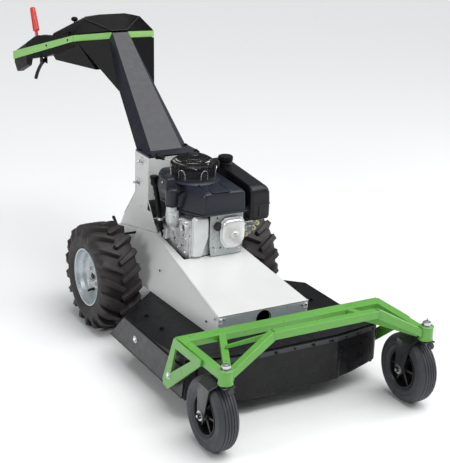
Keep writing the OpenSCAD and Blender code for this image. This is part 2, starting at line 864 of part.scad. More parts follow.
module caster_tyre() {
    hw = caster_w / 2;
    translate([pivot_x, caster_y + trail, caster_r]) rotate([0, 90, 0]) rotate_extrude()
        polygon([[caster_rim_r, -hw + 8], [caster_rim_r + 14, -hw + 2], [caster_r - 24, -hw],
            [caster_r - 10, -hw + 5], [caster_r - 3, -hw + 16], [caster_r, -hw + 26],
            [caster_r, -8], [caster_r - 4, -6], [caster_r - 4, 6], [caster_r, 8],
            [caster_r, hw - 26], [caster_r - 3, hw - 16], [caster_r - 10, hw - 5],
            [caster_r - 24, hw], [caster_rim_r + 14, hw - 2], [caster_rim_r, hw - 8]]);
}

module caster_rim() {
    hw = caster_w / 2;
    translate([pivot_x, caster_y + trail, caster_r]) rotate([0, 90, 0]) difference() {
        union() {
            difference() {
                cylinder(r = caster_rim_r, h = caster_w - 18, center = true);
                cylinder(r = caster_rim_r - 8, h = caster_w, center = true);
            }
            cylinder(d = 44, h = caster_w - 6, center = true);
            for (a = [0:60:359]) rotate(a)
                translate([15, -5, -20]) cube([caster_rim_r - 20, 10, 40]);
        }
        cylinder(d = 12.1, h = caster_w + 10, center = true);
    }
}

module caster_fork_left() color("#3c3d40") caster_fork();
module caster_tyre_left() color("#2c2d30") caster_tyre();
module caster_rim_left() color("#1a1b1d") caster_rim();
module caster_fork_right() color("#3c3d40") right_side() caster_fork();
module caster_tyre_right() color("#2c2d30") right_side() caster_tyre();
module caster_rim_right() color("#1a1b1d") right_side() caster_rim();

// ---- drive wheels --------------------------------------------------------

rim_r = 113;
lug_h = 20;

module lug_row(side) {
    for (i = [0:lug_count - 1]) rotate(i * 360 / lug_count + (side > 0 ? 0 : 180 / lug_count))
        translate([tyre_r - lug_h - 6, 0, side * (tyre_w / 4 - 4)]) rotate([side * 38, 0, 0])
            translate([0, -9, -tyre_w * 0.3]) cube([lug_h + 20, 18, tyre_w * 0.6]);
}

module rear_tyre() {
    hw = tyre_w / 2;
    body_r = tyre_r - lug_h;
    translate([wheel_x, 0, tyre_r]) rotate([0, 90, 0]) {
        rotate_extrude() polygon([[rim_r, -hw + 22], [rim_r + 16, -hw + 6], [body_r - 46, -hw + 2],
            [body_r - 14, -hw + 14], [body_r, -hw + 36], [body_r, hw - 36], [body_r - 14, hw - 14],
            [body_r - 46, hw - 2], [rim_r + 16, hw - 6], [rim_r, hw - 22], [rim_r, hw - 36],
            [rim_r + 18, hw - 18], [body_r - 40, hw - 16], [body_r - 14, hw - 40],
            [body_r - 14, -hw + 40], [body_r - 40, -hw + 16], [rim_r + 18, -hw + 18], [rim_r, -hw + 36]]);
        intersection() {
            union() {
                lug_row(1);
                lug_row(-1);
            }
            difference() {
                cylinder(r = tyre_r, h = tyre_w, center = true);
                cylinder(r = body_r - 8, h = tyre_w + 2, center = true);
            }
        }
    }
}

module rear_rim() {
    hw = tyre_w / 2;
    translate([wheel_x, 0, tyre_r]) rotate([0, 90, 0]) {
        difference() {
            rotate_extrude() polygon([[rim_r - 5, -hw + 23], [rim_r, -hw + 23], [rim_r, hw - 21.8],
                [rim_r + 4, hw - 14], [rim_r - 3, hw - 12], [rim_r - 7, hw - 24], [rim_r - 24, hw - 50],
                [62, hw - 62], [48, hw - 46], [22, hw - 46], [22, hw - 52], [44, hw - 52], [58, hw - 68],
                [rim_r - 26, hw - 56], [rim_r - 10, hw - 30], [rim_r - 5, 0]]);
            for (a = [0:90:359]) rotate(a) translate([36, 0, 0]) cylinder(d = 12, h = 200, center = true);
        }
        // hub and axle shaft that carry the disc
        translate([0, 0, -hw - 140]) cylinder(d = 30, h = 2 * hw + 96);
        translate([0, 0, hw - 60]) cylinder(d = 96, h = 8);
        for (a = [0:90:359]) rotate(a) translate([36, 0, hw - 52]) {
            cylinder(d = 12, h = 14);
            translate([0, 0, 6]) hex(19, 8);
        }
    }
}

module rear_tyre_left() color("#232325") rear_tyre();
module rear_rim_left() color("#c4c8cc") rear_rim();
module rear_tyre_right() color("#232325") right_side() rear_tyre();
module rear_rim_right() color("#c4c8cc") right_side() rear_rim();

// ---- levers --------------------------------------------------------------

// Red lever that tightens the cutter belt, on the right arm
module clutch_lever() {
    color("#d8352c") right_side() translate(clutch_pivot) difference() {
        union() {
            rotate([0, 90, 0]) cylinder(d = 20, h = 9, center = true);
            hull() {
                translate([0, 1, 6]) cube([9, 14, 4], center = true);
                translate([0, 30, 97]) cube([9, 16, 2], center = true);
            }
            translate([0, 28, 92]) rotate([-24.7, 0, 0]) cylinder(d1 = 30, d2 = 24, h = 110);
        }
        rotate([0, 90, 0]) cylinder(d = 8.1, h = 20, center = true);
    }
}

// Curved drive lever under the right arm
module drive_lever() {
    tip = [[0, 0, 0], [0, 26, -20], [0, 53, -44], [0, 78, -70], [0, 98, -96]];
    color("#161618") right_side() translate(drive_pivot) difference() {
        union() {
            rotate([0, 90, 0]) cylinder(d = 18, h = 16, center = true);
            for (i = [0:3]) hull() {
                translate(tip[i]) rotate([0, 90, 0]) cylinder(d = 14, h = 14, center = true, $fn = 24);
                translate(tip[i + 1]) rotate([0, 90, 0]) cylinder(d = 14, h = 14, center = true, $fn = 24);
            }
        }
        rotate([0, 90, 0]) cylinder(d = 8.1, h = 30, center = true);
    }
}

module throttle_lever() {
    color("#2a2b2d") translate([throttle_x, 750, throttle_z]) difference() {
        union() {
            rotate([0, 90, 0]) cylinder(d = 14, h = 6, center = true);
            translate([-3, -4, 4]) cube([6, 8, 60]);
            translate([0, 0, 68]) sphere(d = 22);
        }
        rotate([0, 90, 0]) cylinder(d = 6.1, h = 12, center = true);
    }
}

side_pivot = [-212, 56, 356];

module side_lever() {
    color("#17181a") translate(side_pivot) {
        rotate([0, 90, 0]) cylinder(d = 18, h = 10, center = true);
        rotate([0, 90, 0]) cylinder(d = 10, h = 82);
        rod([0, 0, 0], [0, 78, 50], 10);
        translate([0, 78, 50]) sphere(d = 14);
    }
}

// --------------------------------------------------------------------------

module placed() translate([0, axle_y, 0]) children();

placed() deck_shell();
placed() side_skirts();
placed() front_flap();
placed() flap_strip();
placed() frame_rear_tube();
placed() frame_arch();
placed() frame_arm_right();
placed() frame_arm_left();
placed() hood();
placed() tower();
placed() column();
placed() console_tray();
placed() console_cover();
placed() handle_arms();
placed() console_trim();
placed() handle_grips();
placed() engine_plate();
placed() chassis_rails();
placed() gearbox();
placed() spindle_housing();
placed() drive_belts();
placed() crankcase();
placed() cylinder_head();
placed() head_cover();
placed() blower_housing();
placed() recoil_cover();
placed() fuel_tank();
placed() oil_tube();
placed() muffler();
placed() heat_shield();
placed() carburettor();
placed() starter_motor();
placed() control_cables();
placed() bolts();
placed() caster_fork_right();
placed() caster_tyre_right();
placed() caster_rim_right();
placed() caster_fork_left();
placed() caster_tyre_left();
placed() caster_rim_left();
placed() rear_tyre_right();
placed() rear_rim_right();
placed() rear_tyre_left();
placed() rear_rim_left();
placed() spindle();
placed() spindle_pulley();
placed() blade_carrier();
placed() knife_a();
placed() knife_b();
placed() crankshaft();
placed() flywheel();
placed() traction_pulley();
placed() idler_arm();
placed() clutch_lever();
placed() drive_lever();
placed() throttle_lever();
placed() side_lever();
placed() starter_grip();
placed() fuel_cap();
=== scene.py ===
"""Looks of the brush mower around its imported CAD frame.

Lengths in the shapes below are millimetres measured from the rear axle, as in the part's source;
Shape.build() turns them into metres in the frame.
"""
import json
import math
import random

import bmesh
import bpy
from mathutils import Matrix, Vector, noise


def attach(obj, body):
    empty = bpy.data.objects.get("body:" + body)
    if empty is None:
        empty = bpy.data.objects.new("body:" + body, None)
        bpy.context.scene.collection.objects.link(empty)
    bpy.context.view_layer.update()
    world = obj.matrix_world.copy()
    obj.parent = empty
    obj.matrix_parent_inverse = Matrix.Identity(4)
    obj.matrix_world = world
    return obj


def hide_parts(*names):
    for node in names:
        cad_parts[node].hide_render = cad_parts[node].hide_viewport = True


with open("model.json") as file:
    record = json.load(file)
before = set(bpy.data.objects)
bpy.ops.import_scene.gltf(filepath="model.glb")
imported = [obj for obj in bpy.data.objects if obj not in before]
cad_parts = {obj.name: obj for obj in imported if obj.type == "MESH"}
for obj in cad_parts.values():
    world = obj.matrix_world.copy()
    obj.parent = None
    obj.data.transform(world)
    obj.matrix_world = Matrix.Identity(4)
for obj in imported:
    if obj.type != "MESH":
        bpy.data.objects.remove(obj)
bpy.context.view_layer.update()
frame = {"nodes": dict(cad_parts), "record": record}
NODES = frame["nodes"]
AXLE_Y = 75
MM = 0.001
random.seed(7)
scene = bpy.context.scene


def side_name(side):
    return "left" if side > 0 else "right"


def outward(side):
    """Axis that points away from the machine's middle on one side of it."""
    return "x" if side > 0 else "-x"


# ---- camera ---------------------------------------------------------------

CAMERA_AT = (-2.135, -4.048, 1.991)
CAMERA_TURN = (-30.03, 19.33, 2.08)    # azimuth, elevation and roll in degrees
CAMERA_LENS = 91.68


def add_camera():
    az, el, roll = (math.radians(a) for a in CAMERA_TURN)
    back = Vector((math.sin(az) * math.cos(el), -math.cos(az) * math.cos(el), math.sin(el)))
    right = (-back).cross(Vector((0, 0, 1))).normalized()
    up = right.cross(-back)
    turned_right = math.cos(roll) * right + math.sin(roll) * up
    turned_up = -math.sin(roll) * right + math.cos(roll) * up
    cam = bpy.data.cameras.new("camera")
    cam.sensor_width = 36
    cam.lens = CAMERA_LENS
    ob = bpy.data.objects.new("camera", cam)
    scene.collection.objects.link(ob)
    ob.matrix_world = Matrix.Translation(CAMERA_AT) @ Matrix(
        (turned_right, turned_up, back)).transposed().to_4x4()
    scene.camera = ob


add_camera()


# ---- materials ------------------------------------------------------------

def new_material(name):
    m = bpy.data.materials.new(name)
    m.use_nodes = True
    nt = m.node_tree
    bsdf = nt.nodes["Principled BSDF"]
    coord = nt.nodes.new("ShaderNodeTexCoord").outputs["Object"]
    return m, nt, bsdf, coord


def noise_node(nt, coord, scale, detail=3.0, rough=0.55):
    n = nt.nodes.new("ShaderNodeTexNoise")
    n.inputs["Scale"].default_value = scale
    n.inputs["Detail"].default_value = detail
    n.inputs["Roughness"].default_value = rough
    nt.links.new(coord, n.inputs["Vector"])
    return n.outputs["Fac"]


def ramp(nt, value, lo, hi, out_lo=0.0, out_hi=1.0):
    n = nt.nodes.new("ShaderNodeMapRange")
    nt.links.new(value, n.inputs["Value"])
    for key, v in (("From Min", lo), ("From Max", hi), ("To Min", out_lo), ("To Max", out_hi)):
        n.inputs[key].default_value = v
    return n.outputs["Result"]


def mix(nt, fac, a, b):
    n = nt.nodes.new("ShaderNodeMix")
    n.data_type = "RGBA"
    for key, v in (("Factor", fac), ("A", a), ("B", b)):
        sock = [s for s in n.inputs
                if s.name == key and s.type in ("VALUE", "RGBA")][0 if key == "Factor" else -1]
        if isinstance(v, bpy.types.NodeSocket):
            nt.links.new(v, sock)
        else:
            sock.default_value = v if key == "Factor" else (*v, 1)
    return [s for s in n.outputs if s.type == "RGBA"][0]


def bump(nt, height, distance, strength=1.0, normal=None):
    n = nt.nodes.new("ShaderNodeBump")
    n.inputs["Distance"].default_value = distance
    n.inputs["Strength"].default_value = strength
    nt.links.new(height, n.inputs["Height"])
    if normal is not None:
        nt.links.new(normal, n.inputs["Normal"])
    return n.outputs["Normal"]


def surface(name, color, rough, metal=0.0, vary=0.1, vary_scale=7, spread=0.08, grain=900, grain_mm=0.05,
            spots=None, spot_color=None, coat=0.0, spec=0.5, dust=None):
    """A finish with slow colour drift, uneven roughness and a fine grain in its relief."""
    m, nt, b, coord = new_material(name)
    drift = noise_node(nt, coord, vary_scale, 4)
    col = mix(nt, ramp(nt, drift, 0.3, 0.7), tuple(c * (1 - vary) for c in color),
              tuple(min(1, c * (1 + vary)) for c in color))
    fine = noise_node(nt, coord, grain, 2)
    if spots:
        speck = noise_node(nt, coord, spots, 2)
        col = mix(nt, ramp(nt, speck, 0.6, 0.72), col, spot_color)
    if dust:
        film = noise_node(nt, coord, 22, 5)
        col = mix(nt, ramp(nt, film, 0.45, 0.8, 0, 0.5), col, dust)
    nt.links.new(col, b.inputs["Base Color"])
    smear = noise_node(nt, coord, vary_scale * 5, 4)
    nt.links.new(ramp(nt, smear, 0.3, 0.7, rough - spread, rough + spread), b.inputs["Roughness"])
    nt.links.new(bump(nt, fine, grain_mm * MM), b.inputs["Normal"])
    b.inputs["Metallic"].default_value = metal
    b.inputs["Specular IOR Level"].default_value = spec
    b.inputs["Coat Weight"].default_value = coat
    b.inputs["Coat Roughness"].default_value = 0.15
    return m


def galvanised(name, color):
    m, nt, b, coord = new_material(name)
    v = nt.nodes.new("ShaderNodeTexVoronoi")
    v.inputs["Scale"].default_value = 160
    nt.links.new(coord, v.inputs["Vector"])
    grey = nt.nodes.new("ShaderNodeRGBToBW")
    nt.links.new(v.outputs["Color"], grey.inputs["Color"])
    cell = grey.outputs["Val"]
    nt.links.new(mix(nt, ramp(nt, cell, 0.2, 0.8), tuple(c * 0.86 for c in color), color),
                 b.inputs["Base Color"])
    nt.links.new(ramp(nt, cell, 0.2, 0.8, 0.34, 0.52), b.inputs["Roughness"])
    nt.links.new(bump(nt, noise_node(nt, coord, 240, 3), 0.00012), b.inputs["Normal"])
    b.inputs["Metallic"].default_value = 0.55
    return m


MAT = {
    "green": surface("green_powder_coat", (0.130, 0.400, 0.062), 0.33, vary=0.07, grain=700, grain_mm=0.06,
                     coat=0.25),
    # painted light: the trim strip is the frame's green, made lighter because its faces are strongly lit
    "trim": surface("trim_green_painted_light", (0.27, 0.60, 0.15), 0.33, vary=0.05, grain=700, grain_mm=0.05, coat=0.25),
    "white": surface("white_powder_coat", (0.71, 0.72, 0.71), 0.36, vary=0.025, grain=700, grain_mm=0.05,
                     coat=0.2),
    "black_steel": surface("satin_black_coat", (0.0045, 0.0045, 0.0055), 0.34, vary=0.2, grain=800,
                           grain_mm=0.04, spec=0.18),
    "column": surface("column_coat", (0.014, 0.015, 0.023), 0.30, vary=0.06, grain=800, grain_mm=0.02,
                      spec=0.6),
    "grey_steel": surface("grey_coat", (0.030, 0.031, 0.034), 0.40, vary=0.12, grain=800, grain_mm=0.06),
    "fork": surface("fork_coat", (0.030, 0.031, 0.034), 0.31, vary=0.12, grain=700, grain_mm=0.06),
    "chassis": surface("chassis_coat", (0.05, 0.05, 0.054), 0.5, vary=0.15),
    "black_plastic": surface("moulded_black", (0.004, 0.004, 0.005), 0.36, vary=0.12, grain=1500,
                             grain_mm=0.05, spec=0.16),
    "console": surface("console_plastic", (0.003, 0.003, 0.0038), 0.34, vary=0.12, grain=1400,
                       grain_mm=0.03, spec=0.10),
    "shroud": surface("shroud_plastic", (0.012, 0.015, 0.026), 0.38, vary=0.08, grain=1500, grain_mm=0.06),
    "tank": surface("tank_plastic", (0.008, 0.008, 0.011), 0.35, vary=0.1, grain=1300, grain_mm=0.06,
                    spec=0.4),
    "drum": surface("drum_plastic", (0.008, 0.007, 0.007), 0.46, vary=0.15, grain=1300, grain_mm=0.05),
    "screen": surface("drum_screen", (0.016, 0.011, 0.011), 0.45, vary=0.3, vary_scale=60, grain=500,
                      grain_mm=0.2),
    "red": surface("red_grip", (0.62, 0.030, 0.020), 0.30, vary=0.06, grain=900, grain_mm=0.03, coat=0.3),
    "flap": surface("rubber_sheet", (0.007, 0.007, 0.008), 0.30, vary=0.18, grain=600, grain_mm=0.06,
                    spec=0.26,
                    dust=(0.014, 0.014, 0.017)),
    "grip": surface("grip_rubber", (0.006, 0.006, 0.0065), 0.55, vary=0.15, grain=1200, grain_mm=0.1),
    "belt": surface("belt_rubber", (0.02, 0.02, 0.02), 0.75, vary=0.2),
    "drive_tyre": surface("drive_tyre_rubber", (0.024, 0.0205, 0.020), 0.60, vary=0.22, grain=500,
                          grain_mm=0.18,
                          dust=(0.050, 0.042, 0.039)),
    "caster_tyre": surface("caster_tyre_rubber", (0.036, 0.038, 0.045), 0.52, vary=0.12, grain=700,
                           grain_mm=0.1,
                           dust=(0.060, 0.062, 0.070)),
    "rim": surface("rim_paint", (0.50, 0.55, 0.58), 0.33, metal=0.35, vary=0.06, grain=500, grain_mm=0.06,
                   spots=180, spot_color=(0.36, 0.41, 0.44)),
    "caster_rim": surface("caster_rim_plastic", (0.011, 0.011, 0.012), 0.36, vary=0.15, grain=1200,
                          grain_mm=0.05),
    "cast": surface("cast_aluminium", (0.66, 0.67, 0.68), 0.42, metal=0.45, vary=0.15, vary_scale=30,
                    grain=420,
                    grain_mm=0.35, spots=55, spot_color=(0.36, 0.37, 0.38)),
    "head": surface("head_casting", (0.80, 0.81, 0.82), 0.36, metal=0.3, vary=0.07, vary_scale=20,
                    grain=500,
                    grain_mm=0.2),
    "zinc": surface("zinc_plate", (0.62, 0.63, 0.64), 0.28, metal=0.9, vary=0.1, vary_scale=40, grain=600,
                    grain_mm=0.04),
    "yellow_zinc": surface("yellow_zinc", (0.55, 0.50, 0.33), 0.32, metal=0.85, vary=0.15, vary_scale=60,
                           grain=600,
                           grain_mm=0.04),
    "muffler": surface("muffler_cover", (0.80, 0.81, 0.81), 0.30, metal=0.6, vary=0.03, vary_scale=9,
                       spread=0.03,
                       grain=900, grain_mm=0.015),
    "iron": surface("cast_iron", (0.10, 0.10, 0.105), 0.58, metal=0.3, vary=0.2, grain=300, grain_mm=0.3),
    "gear": surface("gear_casting", (0.30, 0.31, 0.32), 0.5, metal=0.5, vary=0.12, grain=300, grain_mm=0.3),
    "shield": galvanised("galvanised_sheet", (0.56, 0.61, 0.61)),
    "rope": surface("braided_rope", (0.55, 0.55, 0.53), 0.8, vary=0.2, vary_scale=300, grain=900,
                    grain_mm=0.3),
    "gasket": surface("gasket_black", (0.01, 0.01, 0.01), 0.6, vary=0.1),
}

NODE_MATERIAL = {
    "deck_shell": "black_steel", "side_skirts": "grey_steel", "front_flap": "flap",
    "flap_strip": "grey_steel",
    "frame_rear_tube": "green", "frame_arch": "green", "frame_arm_right": "green",
    "frame_arm_left": "green",
    "hood": "white", "tower": "white", "column": "column", "console_tray": "console",
    "console_cover": "console",
    "handle_arms": "console", "console_trim": "trim", "handle_grips": "grip", "engine_plate": "chassis",
    "chassis_rails": "chassis", "gearbox": "gear", "spindle_housing": "iron", "drive_belts": "belt",
    "crankcase": "cast", "cylinder_head": "cast", "head_cover": "head", "blower_housing": "shroud",
    "recoil_cover": "drum", "fuel_tank": "tank", "oil_tube": "black_plastic", "muffler": "muffler",
    "heat_shield": "shield", "carburettor": "gear", "starter_motor": "shroud", "control_cables": "grip",
    "bolts": "zinc", "caster_fork_right": "fork", "caster_fork_left": "fork",
    "caster_tyre_right": "caster_tyre",
    "caster_tyre_left": "caster_tyre", "caster_rim_right": "caster_rim", "caster_rim_left": "caster_rim",
    "rear_tyre_right": "drive_tyre", "rear_tyre_left": "drive_tyre", "rear_rim_right": "rim",
    "rear_rim_left": "rim", "spindle": "zinc", "spindle_pulley": "iron", "blade_carrier": "black_steel",
    "knife_a": "zinc", "knife_b": "zinc", "crankshaft": "zinc", "flywheel": "iron",
    "traction_pulley": "iron",
    "idler_arm": "zinc", "clutch_lever": "red", "drive_lever": "black_plastic",
    "throttle_lever": "black_plastic",
    "side_lever": "black_steel", "starter_grip": "black_plastic", "fuel_cap": "black_plastic",
}
BODY = {n: b for b, members in frame["record"]["behaviour"]["bodies"].items() for n in members}

for node_name, key in NODE_MATERIAL.items():
    NODES[node_name].data.materials.clear()
    NODES[node_name].data.materials.append(MAT[key])


# ---- mesh building --------------------------------------------------------

def sharp_edges(bm, angle):
    return [e for e in bm.edges if len(e.link_faces) == 2 and e.calc_face_angle(0) > math.radians(angle)]


def round_edges(bm, width, segments=2, angle=28):
    edges = sharp_edges(bm, angle)
    if width and edges:
        bmesh.ops.bevel(bm, geom=edges, offset=width, offset_type="OFFSET", segments=segments, profile=0.5,
                        affect="EDGES", clamp_overlap=True)


class Shape:
    """Closed solids collected in millimetres, each with its own edge radius and material slot."""

    def __init__(self):
        self.bm = bmesh.new()
        self.keys = []

    def take(self, bm, key=None, r=0, seg=2, angle=28, turn=None):
        bmesh.ops.recalc_face_normals(bm, faces=bm.faces)
        round_edges(bm, r, seg, angle)
        if turn is not None:
            bmesh.ops.transform(bm, matrix=turn, verts=bm.verts)
        key = key or "_"
        if key not in self.keys:
            self.keys.append(key)
        for f in bm.faces:
            f.material_index = self.keys.index(key)
        me = bpy.data.meshes.new("part")
        bm.to_mesh(me)
        bm.free()
        self.bm.from_mesh(me)
        bpy.data.meshes.remove(me)

    def copy(self, node, width, segments=2, key=None, angle=28, clean=1.2):
        """The CAD shape of a node with rounded edges."""
        bm = bmesh.new()
        bm.from_mesh(NODES[node].data)
        bmesh.ops.transform(bm, matrix=Matrix.Diagonal((1000, 1000, 1000, 1)), verts=bm.verts)
        bmesh.ops.translate(bm, vec=(0, -AXLE_Y, 0), verts=bm.verts)
        bmesh.ops.remove_doubles(bm, verts=bm.verts, dist=0.01)
        bmesh.ops.dissolve_limit(bm, angle_limit=math.radians(clean), verts=bm.verts, edges=bm.edges)
        self.take(bm, key=key, r=width, seg=segments, angle=angle)

    def hull(self, points, **k):
        bm = bmesh.new()
        for p in points:
            bm.verts.new(p)
        bmesh.ops.convex_hull(bm, input=bm.verts)
        loose = [v for v in bm.verts if not v.link_faces]
        bmesh.ops.delete(bm, geom=loose, context="VERTS")
        bmesh.ops.dissolve_limit(bm, angle_limit=math.radians(1.0), verts=bm.verts, edges=bm.edges)
        self.take(bm, **k)

    def box(self, lo, hi, **k):
        self.hull([(x, y, z) for x in (lo[0], hi[0]) for y in (lo[1], hi[1]) for z in (lo[2], hi[2])], **k)

    def quads(self, rings, closed_ends=True, loop=False, **k):
        """Skin over rings of points; every ring has the same number of points."""
        bm = bmesh.new()
        rows = [[bm.verts.new(p) for p in ring] for ring in rings]
        n = len(rings[0])
        pairs = list(zip(rows, rows[1:])) + ([(rows[-1], rows[0])] if loop else [])
        for a, b in pairs:
            for i in range(n):
                j = (i + 1) % n
                bm.faces.new((a[i], a[j], b[j], b[i]))
        if closed_ends and not loop:
            bm.faces.new(rows[0][::-1])
            bm.faces.new(rows[-1])
        self.take(bm, **k)

    def lathe(self, profile, centre, axis="z", n=48, **k):
        """Closed profile of (radius, height) turned about an axis through centre."""
        rings = []
        for i in range(n):
            t = 2 * math.pi * i / n
            rings.append([place(centre, axis, r * math.cos(t), r * math.sin(t), h) for r, h in profile])
        if all(r > 1e-6 for r, h in profile):
            self.quads(rings, loop=True, **k)
            return
        bm = bmesh.new()
        cols = []
        for r, h in profile:
            if r <= 1e-6:
                cols.append([bm.verts.new(place(centre, axis, 0, 0, h))] * n)
            else:
                cols.append([bm.verts.new(place(centre, axis, r * math.cos(2 * math.pi * i / n),
                                                r * math.sin(2 * math.pi * i / n), h)) for i in range(n)])
        for a, b in zip(cols, cols[1:]):
            for i in range(n):
                j = (i + 1) % n
                ring = []
                for v in (a[i], a[j], b[j], b[i]):
                    if v not in ring:
                        ring.append(v)
                if len(ring) > 2:
                    bm.faces.new(ring)
        self.take(bm, **k)

    def tube(self, path, radius, n=12, flat=1.0, **k):
        """Round rod along a path; radius may be a list, one for each point."""
        path = [Vector(p) for p in path]
        radii = radius if isinstance(radius, (list, tuple)) else [radius] * len(path)
        rings = []
        side = None
        for i, p in enumerate(path):
            t = (path[min(i + 1, len(path) - 1)] - path[max(i - 1, 0)]).normalized()
            if side is None:
                side = t.orthogonal().normalized()
            side = (side - t * side.dot(t)).normalized()
            up = t.cross(side)
            rings.append([p + (side * math.cos(a) + up * math.sin(a) * flat) * radii[i]
                          for a in (2 * math.pi * j / n for j in range(n))])
        self.quads(rings, **k)

    def cylinder(self, centre, axis, radius, length, n=32, top=None, **k):
        """Cylinder from centre along axis; top is the radius at its far end."""
        self.lathe([(0, 0), (radius, 0), (radius if top is None else top, length), (0, length)],
                   centre, axis, n=n, **k)

    def bolt(self, centre, axis, width, head=6, washer=True, key="zinc", stud=0):
        """Hexagon head on a washer, seated at centre and facing along axis."""
        r = width / math.sqrt(3)
        if washer:
            self.cylinder(centre, axis, width * 0.95, 1.4, n=24, r=0.3, seg=1, key=key)
        rings = []
        for h, s in ((0.5, 0.96), (1.2, 1.0), (head - 1.2, 1.0), (head, 0.86)):
            rings.append([place(centre, axis, r * s * math.cos(a), r * s * math.sin(a), h)
                          for a in (math.pi * j / 3 + 0.3 for j in range(6))])
        self.quads(rings, key=key)
        if stud:
            self.cylinder(centre, axis, width * 0.28, stud, n=16, r=0.6, seg=1, key=key)

    def dome_screw(self, centre, axis, width, height, key="zinc"):
        self.lathe([(0, 0), (width / 2, 0), (width * 0.48, height * 0.5), (width * 0.33, height * 0.88),
                    (width * 0.16, height), (width * 0.14, height * 0.5), (0, height * 0.45)],
                   centre, axis, n=20, key=key)

    def weld(self, points, radius, key="green", pitch=0.75):
        """Row of overlapping ripples along a line of points."""
        points = [Vector(p) for p in points]
        for a, b in zip(points, points[1:]):
            steps = max(1, int((b - a).length / (radius * pitch)))
            d = (b - a).normalized()
            for i in range(steps + 1):
                c = a.lerp(b, i / steps)
                bm = bmesh.new()
                bmesh.ops.create_icosphere(bm, subdivisions=1, radius=radius * random.uniform(0.92, 1.06))
                q = d.to_track_quat("X", "Z").to_matrix().to_4x4()
                bmesh.ops.transform(bm, matrix=Matrix.Translation(c) @ q @ Matrix.Diagonal((0.62, 1, 1, 1)),
                                    verts=bm.verts)
                self.take(bm, key=key)

    def build(self, name, node, default=None, smooth=42, weighted=True, cutters=()):
        """The finished object, standing for a CAD node (or several) and riding with its body."""
        nodes = [node] if isinstance(node, str) else list(node)
        me = bpy.data.meshes.new(name)
        self.bm.to_mesh(me)
        self.bm.free()
        ob = bpy.data.objects.new(name, me)
        scene.collection.objects.link(ob)
        default = default or NODE_MATERIAL[nodes[0]]
        for key in self.keys:
            me.materials.append(MAT[default if key == "_" else key])
        for cutter in cutters:
            carve(ob, cutter)
            me = ob.data
        me.transform(Matrix.Translation((0, AXLE_Y * MM, 0)) @ Matrix.Diagonal((MM, MM, MM, 1)))
        finish_piece(ob, nodes, smooth, weighted)
        return ob


def place(centre, axis, u, v, h):
    """Point at (u, v) across and h along an axis, given as a letter or as a direction."""
    x, y, z = centre
    if axis == "z":
        return Vector((x + u, y + v, z + h))
    if axis == "x":
        return Vector((x + h, y + u, z + v))
    if axis == "-x":
        return Vector((x - h, y - u, z + v))
    if axis == "y":
        return Vector((x - u, y + h, z + v))
    if axis == "-y":
        return Vector((x + u, y - h, z + v))
    if axis == "-z":
        return Vector((x + u, y - v, z - h))
    d = Vector(axis).normalized()
    side = d.orthogonal().normalized()
    return Vector(centre) + side * u + d.cross(side) * v + d * h


def carve(ob, cutter):
    """Cuts a Shape, still in millimetres, out of ob."""
    me = bpy.data.meshes.new("cutter")
    cutter.bm.to_mesh(me)
    tool = bpy.data.objects.new("cutter", me)
    scene.collection.objects.link(tool)
    mod = ob.modifiers.new("cut", "BOOLEAN")
    mod.operation = "DIFFERENCE"
    mod.solver = "EXACT"
    mod.object = tool
    dg = bpy.context.evaluated_depsgraph_get()
    result = bpy.data.meshes.new_from_object(ob.evaluated_get(dg))
    ob.modifiers.clear()
    materials = list(ob.data.materials)
    ob.data = result
    if not result.materials:
        for m in materials:
            result.materials.append(m)
    bpy.data.objects.remove(tool)


def finish_piece(ob, nodes, smooth, weighted=True):
    me = ob.data
    me.shade_smooth()
    me.set_sharp_from_angle(angle=math.radians(smooth))
    if weighted:
        mod = ob.modifiers.new("normals", "WEIGHTED_NORMAL")
        mod.keep_sharp = True
        mod.weight = 80
    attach(ob, BODY[nodes[0]])
    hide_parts(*nodes)


# ---- drive wheels ---------------------------------------------------------

TYRE_R, TYRE_W, WHEEL_X = 216, 176, 319
LUGS = 18


def tyre_point(side, x, r, angle):
    """Point of a drive wheel: x along its axle from the middle, angle growing from the ground rearwards."""
    return Vector((side * (WHEEL_X + x), r * math.sin(angle), TYRE_R - r * math.cos(angle)))


def smooth_line(points, per=4):
    """Catmull-Rom line through (a, b) points."""
    out = []
    n = len(points)
    for i in range(n - 1):
        p0, p1, p2, p3 = (Vector(points[max(0, min(n - 1, j))]) for j in (i - 1, i, i + 1, i + 2))
        for k in range(per):
            t = k / per
            out.append(0.5 * (2 * p1 + (p2 - p0) * t + (2 * p0 - 5 * p1 + 4 * p2 - p3) * t * t
                              + (3 * p1 - p0 - 3 * p2 + p3) * t ** 3))
    out.append(Vector(points[-1]))
    return out


